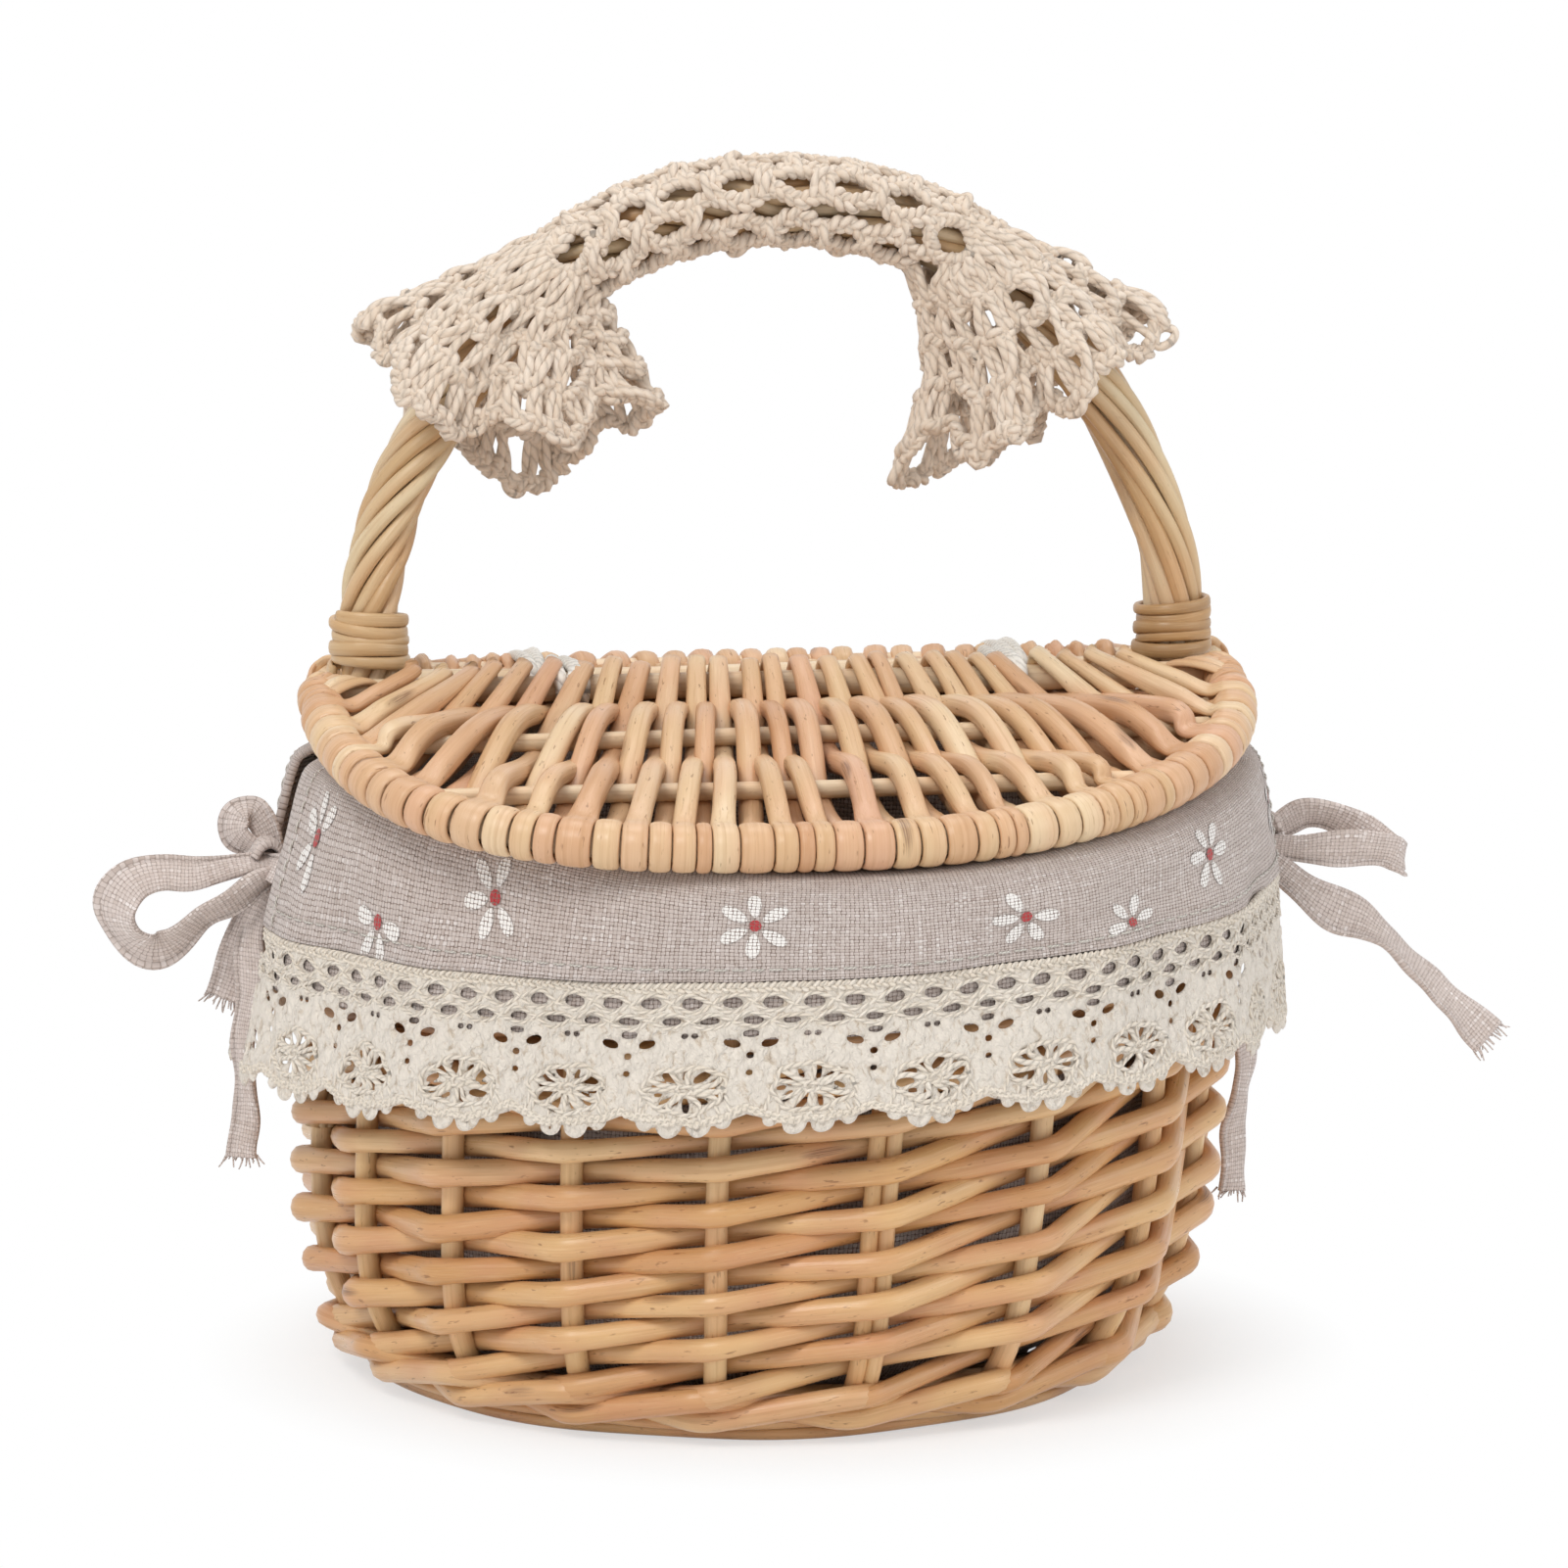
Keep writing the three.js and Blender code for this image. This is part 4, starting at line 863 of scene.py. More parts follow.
def cuff_surface(a, v):
    """Middle surface of the cuff for arrays of angle and of share v down its profile."""
    pts = cuff_line(a)
    spans = pts.shape[-2] - 1
    before = 2 * pts[..., :1, :] - pts[..., 1:2, :]
    after = 2 * pts[..., -1:, :] - pts[..., -2:-1, :]
    ext = np.concatenate([before, pts, after], -2)
    t = np.clip(v, 0, 1) * spans
    i = np.minimum(t.astype(int), spans - 1)
    p = [np.take_along_axis(ext, (i + k)[..., None, None], -2)[..., 0, :] for k in range(4)]
    q = curve(*p, (t - i)[..., None])
    hang = np.clip((v - 0.62) / 0.38, 0, 1)
    off = q[..., 0] + hang * (0.6 + crumple(a, v * 3)) + 0.35 * (1 - hang) * crumple(a * 1.3 + 1, v)
    return plan(a, STAKE_LINE, off, border_z(a) + q[..., 1])


def hem_point(a, q, out):
    """The cuff's hem hangs on behind the top of the lace, q below the seam."""
    off = SEAM_OFF - 0.45 + fold(a) + side_flare(a) + 0.12 * q + 0.35 * crumple(a * 1.2, 0.6)
    return plan(a, STAKE_LINE, off + out, seam_z(a) - q)


def normals(grid):
    return unit(np.cross(np.gradient(grid, axis=0), np.gradient(grid, axis=1)))


CUFF_MIDDLE = (0, 0, 130)  # a point inside the cuff, to tell its outer face
PETAL_STEP = TAU / 6.2


def daisy(build, a0, v0, size, turn, petals):
    """A small printed flower: petals round a dot, laid on the cuff."""
    shapes = []
    for k in range(petals):
        ang = turn + k * PETAL_STEP
        t = np.linspace(0, TAU, 15)[:-1]
        along = 0.62 + 0.38 * np.cos(t)
        wide = 0.2 * np.sin(t) * (0.6 + 0.5 * along)
        x = along * np.cos(ang) - wide * np.sin(ang)
        y = along * np.sin(ang) + wide * np.cos(ang)
        shapes.append((np.stack([x, y], -1) * size, 0.0))
    t = np.linspace(0, TAU, 11)[:-1]
    shapes.append((np.stack([np.cos(t), np.sin(t)], -1) * size * 0.17, 1.0))
    e = 1e-3
    for xy, tone in shapes:
        idx = []
        for k in (1.0, 0.55, 0.05):
            ring = xy.mean(0) + (xy - xy.mean(0)) * k
            aa, vv = a0 + ring[:, 0] / CUFF_R, v0 + ring[:, 1] / CUFF_LONG
            p = cuff_surface(aa, vv)
            n = unit(np.cross(cuff_surface(aa + e, vv) - p, cuff_surface(aa, vv + e) - p))
            n = n * np.sign(np.sum(n * (p - CUFF_MIDDLE), -1, keepdims=True))
            lay = np.stack([aa * CUFF_R, vv * CUFF_LONG, 0 * aa], -1)
            idx.append(build.points(p + n * (0.86 + 0.1 * tone), lay, tone) + np.arange(len(ring)))
        for lo, hi in zip(idx[:-1], idx[1:]):
            build.quads.append(np.stack([lo, np.roll(lo, -1), np.roll(hi, -1), hi], -1))
        build.tris.append(np.stack([np.full(len(xy) - 2, idx[-1][0]), idx[-1][1:-1], idx[-1][2:]], -1))


# Flowers of each cuff: angle from the right foot, share down the cuff, size, turn and number of petals
DAISIES = {
    -1: [
        (0.27, 0.79, 8.6, 0.4, 5), (0.76, 0.79, 8.8, 1.2, 6), (1.02, 0.93, 8.2, 3.0, 4),
        (1.27, 0.82, 9.0, 0.1, 5), (1.80, 0.80, 9.0, 0.6, 6), (2.32, 0.81, 8.8, 0.9, 5),
        (2.60, 0.92, 8.4, 0.2, 4), (2.86, 0.80, 8.2, 1.5, 5),
    ],
    1: [
        (0.36, 0.90, 8.4, 1.1, 5), (0.62, 0.80, 8.6, 0.2, 4), (0.95, 0.93, 8.6, 2.2, 5),
        (1.22, 0.80, 8.6, 0.8, 6), (1.55, 0.92, 8.8, 0.0, 4), (1.86, 0.81, 8.6, 1.4, 5),
        (2.12, 0.94, 8.2, 2.4, 4), (2.44, 0.82, 8.8, 0.5, 6), (2.76, 0.91, 8.2, 1.9, 4),
    ],
}

bag = Build()
a = np.linspace(0, TAU, 181)
walls = np.concatenate([np.linspace(10.4, 30, 10), np.linspace(36, 128, 24)])[1:]
rows = [plan(a, BAG_FLOOR_HALF * k, 0.0, BAG_FLOOR_Z + 0 * a) for k in (0.02, 0.3, 0.6, 0.85, 1.0)]
rows += [plan(a, BAG_CORNER_HALF, 0.0, BAG_CORNER_Z + 0 * a)]
rows += [on_wall(a, z, BAG_OFF - 0.7 + 0.55 * crumple(a * 2, z / 30)) for z in walls]
rows += [on_wall(a, border_z(a) - BAG_TOP_GAP, BAG_OFF - 0.7)]
grid = np.stack(rows, 0)
down = np.cumsum([0] + [3.2] * (len(rows) - 1))
lay = np.stack(np.broadcast_arrays(a[None] * 105, down[:, None], 0.0), -1)
through = normals(grid) * BAG_HALF_THICK
bag.shell(grid - through, grid + through, lay)
liner = bag.make("liner_bag_cloth", m_linen, "basket", "linen", ["liner_bag"])


def stitch_line(build, a, v, lift, rise, r):
    """One running stitch on the cuff, arched over the cloth."""
    p = cuff_surface(a, v)
    out = unit(np.stack([np.cos(a), np.sin(a), rise + 0 * a], -1))
    build.tube(p + out * (lift + 0.35 * np.sin(np.linspace(0, PI, len(a))))[:, None], r, sides=5)


sheets = {}
for name, sign in HALVES:
    a1 = sign * np.linspace(SLIT, PI - SLIT, 380)
    A, V = np.meshgrid(a1, np.linspace(0, 1, 64), indexing="ij")
    grid = cuff_surface(A, V)
    n = normals(grid)
    n = n * np.sign(np.sum(n[200, 60] * (grid[200, 60] - CUFF_MIDDLE)))
    edge = np.minimum(np.abs(A) - SLIT, PI - SLIT - np.abs(A)) * CUFF_R
    thick = (CUFF_HALF_THICK + HEM_EXTRA * np.clip((HEM_WIDE - edge) / 0.8, 0, 1))[..., None]
    lay = np.stack([A * CUFF_R, V * CUFF_LONG, 0 * A], -1)
    cloth = Build()
    outer, inner = grid + n * thick, grid - n * thick
    if np.cross(outer[1, 0] - outer[0, 0], outer[0, 1] - outer[0, 0]) @ n[0, 0] > 0:
        outer, inner, lay = outer[::-1], inner[::-1], lay[::-1]
    cloth.shell(outer, inner, lay)
    HA, HQ = np.meshgrid(a1, np.linspace(-1.5, HEM_DROP, 12), indexing="ij")
    back, face = hem_point(HA, HQ, -0.6), hem_point(HA, HQ, 0.3)
    lay = np.stack([HA * CUFF_R, CUFF_LONG + HQ, 0 * HA], -1)
    if sign > 0:
        back, face, lay = back[::-1], face[::-1], lay[::-1]
    cloth.shell(face, back, lay)
    cuff = cloth.make(f"cuff_{name}_cloth", m_linen, "basket", "linen", [f"liner_cuff_{name}"])
    dots = Build()
    for a0, v0, size, turn, petals in DAISIES[sign]:
        daisy(dots, sign * a0, v0, size, turn, petals)
    flowers = dots.make(f"cuff_{name}_print", m_print, "basket", "linen")
    stitch = Build()
    for side in (SLIT + STITCH_IN / CUFF_R, PI - SLIT - STITCH_IN / CUFF_R):
        for v in np.arange(0.46, 0.98, 0.036):
            stitch_line(stitch, np.full(6, sign * side), np.linspace(v, v + 0.024, 6), 0.85, 0.2, 0.28)
    for a0 in np.arange(SLIT + 0.02, PI - SLIT - 0.02, 0.034):
        stitch_line(stitch, sign * np.linspace(a0, a0 + 0.024, 6), np.full(6, 0.955), 0.75, 0.0, 0.26)
    seams = stitch.make(f"cuff_{name}_stitches", m_thread, "basket", "linen")
    sheets[name] = (cuff, flowers, seams)


# Lace: a cotton edging with rows of holes, spoked wheels and a scalloped hem with picots

PITCH = 30.3
EYE = PITCH / 3
HALF_PITCH = PITCH / 2
REPEATS = 14
PER_RADIAN = REPEATS * PITCH / PI  # millimetres along the lace for a radian round the bowl
EYE_ROWS = (4.6, 8.9)
WHEEL_Q = 25.4
WHEEL_WIDE, WHEEL_HIGH = 7.0, 3.7  # the ring on which a wheel's holes lie
SPOKES = 10
CELL = 0.52
LACE_DROP = 38.0


def wheel_turn(which):
    """Each wheel is worked a little turned from its neighbour."""
    return 0.28 * np.sin(5.1 * np.asarray(which, float))


def in_repeat(p):
    """Place in the repeat, from -0.5 to 0.5."""
    return (p / PITCH + 0.5) % 1.0 - 0.5


def lace_hem(p):
    """How far below the seam the lace ends: scallops with a notch in each."""
    m = in_repeat(p)
    return 35.2 - 3.6 * np.abs(2 * m) ** 1.6 - 1.0 * np.exp(-((m * PITCH / 2.2) ** 2))


def lace_field(p, q):
    """Distance to the nearest hole or edge, in millimetres; p runs along the hem, q down from the seam."""
    x = in_repeat(p) * PITCH
    jig = 0.35 * np.sin(p * 0.37) + 0.25 * np.sin(p * 0.91 + q)

    def oval(cx, cy, rx, ry, tilt=0.0):
        dx, dy = x - cx, q - cy
        c, s = np.cos(tilt), np.sin(tilt)
        ex, ey = dx * c + dy * s, dy * c - dx * s
        r = np.sqrt((ex / rx) ** 2 + (ey / ry) ** 2)
        return (r - 1) * np.minimum(rx, ry)

    f = 0.15 * jig + oval(-EYE, EYE_ROWS[0], 2.6, 1.45)
    for cx in (0.0, EYE, 2 * EYE, -2 * EYE):
        f = np.minimum(f, oval(cx, EYE_ROWS[0], 2.6, 1.45) + 0.35 * jig)
    for cx in (-EYE / 2, EYE / 2, HALF_PITCH, -HALF_PITCH):
        f = np.minimum(f, oval(cx, EYE_ROWS[1], 2.5, 1.0) + 0.35 * jig)
    for cx in (-HALF_PITCH, HALF_PITCH):
        f = np.minimum(f, oval(cx, 12.2, 2.0, 0.85) + 0.3 * jig)
        f = np.minimum(f, oval(cx, 17.4, 1.0, 0.8))
        f = np.minimum(f, oval(cx, 21.6, 0.9, 0.7))
        for s in (-1, 1):
            f = np.minimum(f, oval(cx + s * 4.7, 14.4, 2.2, 1.05, -0.25 * s))
    for cx in (-1.25, 1.25):
        f = np.minimum(f, oval(cx, 12.4, 0.9, 0.7))
    which = np.floor(p / PITCH + 0.5)
    for k in range(SPOKES):
        ang = TAU * (k + 0.5) / SPOKES + wheel_turn(which)
        cx, cy = WHEEL_WIDE * np.cos(ang), WHEEL_HIGH * np.sin(ang)
        grow = 1 + 0.28 * np.sin(which * 7.7 + k * 2.3)
        lean = np.arctan2(cy, cx) + 0.5 * np.sin(which * 3.1 + k * 4.7)
        f = np.minimum(f, oval(cx, WHEEL_Q + cy, 2.0 * grow, 0.85 * grow, lean) + 0.35 * jig)
    f = np.minimum(f, (lace_hem(p) + 0.3 * jig - q) * 0.93)
    for s in (-1, 1):
        # two knobs with an eye at the point of each scallop, and a smaller one beside each
        knob = 3.1 + 0.4 * jig - np.hypot(x - s * 3.4, q - 33.9)
        f = np.maximum(f, np.minimum(knob, oval(s * 3.4, 34.9, 0.35, 0.35) + 0.3 * jig))
        f = np.maximum(f, 2.1 + 0.4 * jig - np.hypot(x - s * 9.4, q - 32.9))
    return f


def lace_point(a, q, out):
    g = q / LACE_DROP
    off = SEAM_OFF + 0.6 + fold(a) + side_flare(a) + 4.6 * g + 0.7 * crumple(a * 1.2, 0.5 + g) * (0.4 + g)
    return plan(a, STAKE_LINE, off + out, seam_z(a) - 0.3 - q * (1 + 0.05 * np.cos(2 * a)))


def lace_sheet(sign):
    """Cotton of one half: the field's cells outside the holes, with points near an edge moved on to it."""
    count = int((PI - 2 * SLIT) * 135 / CELL)
    a1 = sign * np.linspace(SLIT + 0.004, PI - SLIT - 0.004, count)
    A, Q = np.meshgrid(a1, np.arange(0, 39.5, CELL), indexing="ij")
    P = A * PER_RADIAN + HALF_PITCH
    f = lace_field(P, Q)
    e = 0.05
    gp = (lace_field(P + e, Q) - lace_field(P - e, Q)) / (2 * e)
    gq = (lace_field(P, Q + e) - lace_field(P, Q - e)) / (2 * e)
    near = np.abs(f) < 0.42
    move = np.where(near, -f / np.maximum(gp**2 + gq**2, 0.25), 0.0)
    P2 = P + np.clip(move * gp, -0.4, 0.4)
    Q2 = np.maximum(Q + np.clip(move * gq, -0.4, 0.4), 0)
    f2 = np.where(near, 0.0, f)
    puff = 0.12 + 0.78 * np.sqrt(np.clip(f2 / 1.1, 0, 1))
    puff = puff + 0.12 * np.sin(P * 2.4 + np.sin(Q * 1.7)) * np.clip(f2, 0, 1)
    keep = f > -0.42
    cells = keep[:-1, :-1] & keep[1:, :-1] & keep[1:, 1:] & keep[:-1, 1:]
    cells &= (f[:-1, :-1] + f[1:, :-1] + f[1:, 1:] + f[:-1, 1:]) > -0.1
    A2 = (P2 - HALF_PITCH) / PER_RADIAN
    lay = np.stack([P2, Q2, 0 * P], -1)
    full = Build()
    face = full.grid(lace_point(A2, Q2, puff), lay, 0.4)
    rear = full.grid(lace_point(A2, Q2, -0.55 * puff), lay, 0.4)
    ci, cj = np.nonzero(cells)
    ring = [(0, 0), (1, 0), (1, 1), (0, 1)]
    quads = [np.stack([face[ci + di, cj + dj] for di, dj in ring], -1)]
    quads.append(np.stack([rear[ci + di, cj + dj] for di, dj in ring], -1)[:, ::-1])
    pad = np.pad(cells, 1)
    # walls where a cell's neighbour is open, between the two corners on that side
    for (di, dj), (c0, c1) in zip([(-1, 0), (1, 0), (0, -1), (0, 1)], [(3, 0), (1, 2), (0, 1), (2, 3)]):
        bare = ~pad[1 + ci + di, 1 + cj + dj]
        (i0, j0), (i1, j1) = ((ci[bare] + ring[c][0], cj[bare] + ring[c][1]) for c in (c0, c1))
        quads.append(np.stack([face[i0, j0], rear[i0, j0], rear[i1, j1], face[i1, j1]], -1))
    used = np.unique(np.concatenate([q.ravel() for q in quads]))
    remap = np.full(full.n, -1)
    remap[used] = np.arange(len(used))
    lace = Build()
    lace.points(*(np.concatenate(part)[used] for part in (full.v, full.lay, full.rnd)))
    lace.quads = [remap[q if sign < 0 else q[:, ::-1]] for q in quads]
    return lace


def lace_braid(sign):
    """Threads on one half's lace: a plait at the seam, round the eyes, the wheels and along the hem."""
    trim = Build()
    aa = sign * np.linspace(SLIT + 0.006, PI - SLIT - 0.006, 1500)
    for k in range(3):
        ph = aa * PER_RADIAN * TAU / 5.4 + k * TAU / 3
        trim.tube(lace_point(aa, 0.9 + 0.85 * np.sin(ph), 0.55 + 0.45 * np.sin(2 * ph)), 0.62, sides=5)

    def thread(p, q, r, closed=False, lift=0.75):
        trim.tube(lace_point((p - HALF_PITCH) / PER_RADIAN, q, lift), r, sides=6, closed=closed)

    pp = aa * PER_RADIAN + HALF_PITCH
    slack = 0.3 * np.sin(pp * 0.31) + 0.2 * np.sin(pp * 0.83)
    for way in (-1, 1):
        thread(pp, EYE_ROWS[0] + slack + way * 2.1 * np.cos(PI * pp / EYE), 0.52)
        thread(pp, EYE_ROWS[1] + slack + way * 1.7 * np.sin(PI * pp / EYE), 0.48)
        thread(pp, lace_hem(pp) - 1.5 + slack + way * 0.55 * np.sin(pp * 2.2), 0.62)
    low, high = pp.min() + 11.0, pp.max() - 11.0
    turn = np.linspace(0, TAU, 49)[:-1]
    g = np.linspace(0, 1, 8)
    for k in range(math.ceil(low / PITCH), math.floor(high / PITCH) + 1):
        mid = k * PITCH + rng.normal(0, 0.25)
        for rx, ry in ((1.9, 1.0), (9.9, 5.6)):
            wave = 1 + 0.07 * np.sin(3 * turn + rng.uniform(0, TAU)) + 0.05 * np.sin(7 * turn + k)
            thread(mid + rx * wave * np.cos(turn), WHEEL_Q + ry * wave * np.sin(turn), 0.6, True)
        for j in range(SPOKES):
            ang = TAU * j / SPOKES + float(wheel_turn(k)) + rng.normal(0, 0.08)
            bend = ang + 0.2 * np.sin(PI * g) * rng.normal(0, 1)
            p, q = mid + (2.2 + 8.0 * g) * np.cos(bend), WHEEL_Q + (1.2 + 4.6 * g) * np.sin(bend)
            thread(p, q, rng.uniform(0.5, 0.8), lift=0.6)
        for j in range(7):
            # fan from the wheel down to the scallop
            ang = PI * (j + 0.5) / 7 + rng.normal(0, 0.05)
            across = (10.4 + 1.6 * g) * np.cos(ang)
            q0 = WHEEL_Q + 5.9 * math.sin(ang)
            q1 = lace_hem(mid + across[-1]) - 1.2
            thread(mid + across, q0 + (q1 - q0) * g + 0.2 * np.sin(PI * g), 0.52)
    return trim


for name, sign in HALVES:
    body = lace_sheet(sign).make(f"lace_{name}_cotton", m_lace, "basket", "lace", [f"lace_{name}"])
    sheets[f"lace_{name}"] = (body, lace_braid(sign).make(f"lace_{name}_braid", m_edge, "basket", "lace"))


# Ties: doubled strips of the same linen, knotted at each handle foot; their material is a lighter copy of
# the linen, as painted light

TIE_THICK = 0.95
TIE_CUP = 0.12
# Section of a strip in half widths and half thicknesses: a sewn edge leaves a groove along one side
STRIP_TOP = [(-1, 0), (-0.95, 0.75), (-0.8, 1), (-0.68, 0.3), (-0.56, 0.95), (0, 1.05), (0.6, 1)]
STRIP_TOP += [(0.93, 0.75), (1, 0)]
STRIP = np.array(STRIP_TOP + [(x, -h) for x, h in STRIP_TOP[-2:0:-1]])


def strip(build, rows, frayed, count=110):
    """A strip along rows of (x, y, z, half width, and the direction its face looks)."""
    rows = spline(rows, count)
    path, half, face = rows[:, :3], rows[:, 3], rows[:, 4:7]
    run = run_along(path)
    loose = np.sin(PI * np.clip(run / run[-1], 0, 1)) ** 0.5
    ripple = [0.7 * np.sin(run / 4.9 + 2), 0.5 * np.sin(run / 3.9), 0.7 * np.sin(run / 5.7 + 1)]
    path = path + np.stack(ripple, -1) * loose[:, None]
    t, side, top = frames(path, face)
    crush = 1 + 0.9 * np.sin(run / 4.3 + 1) * np.sin(run / 7.9)
    half = half * (1 + 0.06 * np.sin(run / 4.7 + half[0]) + 0.04 * np.sin(run / 2.9))
    across, depth = STRIP.T
    x = half[:, None] * across
    y = TIE_THICK * depth * np.interp(half, [2.2, 4.5], [1.7, 1.0])[:, None]
    y = y + TIE_CUP * crush[:, None] * half[:, None] * (across**2 - 0.4)
    y = y + 0.5 * np.sin(run / 3.7)[:, None] * across + 0.3 * np.sin(run / 2.1)[:, None] * across**2
    rings = path[:, None] + side[:, None] * x[..., None] + top[:, None] * y[..., None]
    along = np.repeat(run[:, None], len(STRIP), 1) + rng.uniform(0, 900)
    lay = np.stack([along, x * 5 / half[:, None], y], -1)
    build.sweep(rings, lay, 0.2, rings[[0, -1]].mean(1))
    if not frayed:
        return
    t, side, top = t[-1], side[-1], top[-1]
    f = np.linspace(0, 1, 6)[:, None]
    for k in np.linspace(-0.92, 0.92, 15):
        root = path[-1] + side * k * half[-1] + top * rng.normal(0, 0.4) - t * 0.6
        way = t * rng.uniform(1.4, 4.2) + side * (k * 1.2 + rng.normal(0, 0.5)) + top * rng.normal(0, 0.7)
        bend = side * rng.normal(0, 0.5)
        build.tube(root + way * f + bend * f**2, 0.3 * np.linspace(1, 0.6, 6), sides=5)


# Each tie's side, whether its end is frayed, and its rows with x counted away from the handle's middle
TIES = {
    "left_loop": (-1, False, [
        (128.0, -3, 129.6, 2.6, 0, -0.6, 0.8), (136, -4, 129.4, 3.5, 0, -0.72, 0.7),
        (146, -5, 128.6, 4.2, 0, -0.8, 0.6), (156, -6, 128.6, 5.2, 0.1, -0.8, 0.6),
        (163.6, -6.5, 126.2, 6.2, 0.5, -0.8, 0.3), (166.8, -5.5, 119.6, 7.0, 0.75, -0.62, -0.1),
        (165, -4.5, 113.4, 6.9, 0.7, -0.6, -0.4), (159.5, -4, 109.8, 6.2, 0.25, -0.75, -0.6),
        (153.5, -4, 111, 5.3, -0.3, -0.8, -0.5), (146.5, -6, 116, 4.8, -0.5, -0.75, -0.4),
        (140, -8, 120, 4.0, -0.4, -0.8, -0.4), (133, -7, 125.6, 3.3, -0.3, -0.85, -0.3),
        (127.5, -4, 128, 2.4, -0.3, -0.85, -0.3)]),
    "left_back_loop": (-1, False, [
        (127, 5, 131.5, 2.6, 0.3, -0.8, 0.5), (129, 6.5, 138, 3.8, 0.6, -0.7, 0.3),
        (131.5, 7.5, 141.6, 4.5, 0.6, -0.6, 0.6), (135, 8, 141.2, 4.5, 0.4, -0.7, 0.8),
        (136.4, 7, 137, 4.4, 0.9, -0.6, 0.2), (134, 5.5, 134, 3.6, 0.5, -0.7, -0.5),
        (127.5, 4, 130.5, 2.4, 0.2, -0.8, -0.5)]),
    "left_tail": (-1, True, [
        (128, -1, 125, 2.6, 0.8, -0.6, 0), (132, -1, 115, 3.6, 0.7, -0.7, 0),
        (134, -1, 104, 4.2, 0.6, -0.8, 0), (135, -1.5, 92, 3.4, 0.6, -0.8, 0),
        (135.2, -2, 80, 3.0, 0.7, -0.7, 0), (135.6, -2, 68, 3.4, 0.6, -0.8, 0),
        (136.2, -2, 60, 4.1, 0.5, -0.86, 0), (136.6, -2, 55, 4.6, 0.4, -0.9, 0.1)]),
    "left_short_tail": (-1, True, [
        (128.5, 4, 125, 2.6, 0.6, -0.8, 0), (132.5, 5.5, 116, 3.8, 0.5, -0.85, 0.1),
        (136, 6.5, 106.5, 4.8, 0.4, -0.9, 0.1), (138.6, 6.5, 98, 5.2, 0.3, -0.95, 0.2),
        (139.8, 6.5, 94, 5.4, 0.3, -0.95, 0.2)]),
    "right_loop": (1, False, [
        (128, -3, 127.6, 2.6, 0, -1, -0.1), (137, -5, 126.2, 3.8, 0, -1, -0.2),
        (146, -6, 126.8, 4.7, 0, -1, -0.25), (155, -6, 126.4, 4.9, 0.1, -1, -0.25),
        (163, -5, 124.2, 4.8, 0.3, -0.95, -0.2), (167.8, -1.5, 121.6, 4.6, 1, -0.1, -0.1),
        (165, 2.5, 124.4, 4.5, 0.4, 0.9, 0.1), (157.5, 4.5, 129.4, 4.5, 0, 1, 0.2),
        (150, 5.5, 132.8, 4.4, 0, 1, 0.2), (143, 5.5, 133.4, 4.2, -0.1, 1, 0.2),
        (136, 3.5, 131, 3.4, -0.2, 1, 0.1), (128, 2, 129, 2.4, -0.2, 1, 0.1)]),
    "right_tail": (1, True, [
        (128.5, -3, 124, 2.6, 0, -1, 0.2), (138, -5, 117.4, 4.4, 0, -0.97, 0.3),
        (146.5, -5.5, 111.4, 5.6, 0.1, -0.97, 0.25), (155, -5.5, 106.6, 5.4, 0.2, -0.9, 0.3),
        (162.5, -5, 101.4, 4.0, 0.4, -0.75, 0.5), (169.5, -4.5, 95.4, 3.2, 0.45, -0.7, 0.55),
        (177, -4, 87.6, 4.1, 0.3, -0.85, 0.4), (184.8, -4, 80.2, 5.0, 0.15, -0.95, 0.25),
        (190.6, -4, 74.6, 5.2, 0.1, -0.97, 0.2)]),
    "right_short_tail": (1, True, [
        (128.5, 3.5, 125, 2.6, 0.6, -0.8, 0), (131.5, 5.5, 114, 3.8, 0.7, -0.7, 0),
        (130.5, 6, 98, 4.2, 0.75, -0.66, 0), (128.4, 7, 80, 4.2, 0.75, -0.66, 0),
        (126.4, 7.5, 62, 4.2, 0.7, -0.7, 0), (125.0, 8, 44, 4.6, 0.6, -0.8, 0),
        (124.6, 8, 34, 5.0, 0.5, -0.86, 0)]),
}
KNOT_LEAN = float(bowl_lean(KNOT_Z))
# The band that a knot closes: x, y, height over the knot's middle and half width
KNOT_BAND = (
    (124.6, -13, -0.6, 4.6), (127.6, -8, -0.3, 3.8), (128.4, 0, 0.2, 3.0),
    (127.6, 8, 0.3, 3.8), (124.6, 13, 0.6, 4.6),
)
WRAP_X, WRAP_WIDE, WRAP_HIGH, WRAP_HALF = 128.6, 4.4, 5.2, 4.0

ties, tie_lengths = {}, {}
for name, (sign, frayed, rows) in TIES.items():
    band = Build()
    rows = np.array(rows) * (sign, 1, 1, 1, sign, 1, 1) - (KNOT_LEAN, 0, 0, 0, 0, 0, 0)
    strip(band, rows, frayed)
    tie_lengths[name] = run_along(rows[:, :3])[-1]
    ties[name] = band.make(f"tie_{name}_strip", m_tie_lit, "basket", "linen", [f"tie_{name}"])

for name, sign in SIDES:
    knot = Build()
    rows = []
    for x, y, z, w in KNOT_BAND:
        rows.append((sign * x - KNOT_LEAN, y, KNOT_Z + z, w, sign * 0.9, 0.1 * y / 12, 0.3))
    strip(knot, rows, False, 60)
    ang = np.linspace(0.4, TAU + 0.9, 14)
    c, s = np.cos(ang), np.sin(ang)
    wrap = (sign * (WRAP_X + WRAP_WIDE * c) - KNOT_LEAN, -2.2 + 0.62 * ang, KNOT_Z + WRAP_HIGH * s)
    rows = np.stack(np.broadcast_arrays(*wrap, WRAP_HALF, sign * c, 0.1, s), -1)
    strip(knot, rows, False, 90)
    node = f"tie_{name}_knot"
    ties[f"{name}_knot"] = knot.make(f"{node}_cloth", m_tie_lit, "basket", "linen", [node])


# Crochet cover on the handle

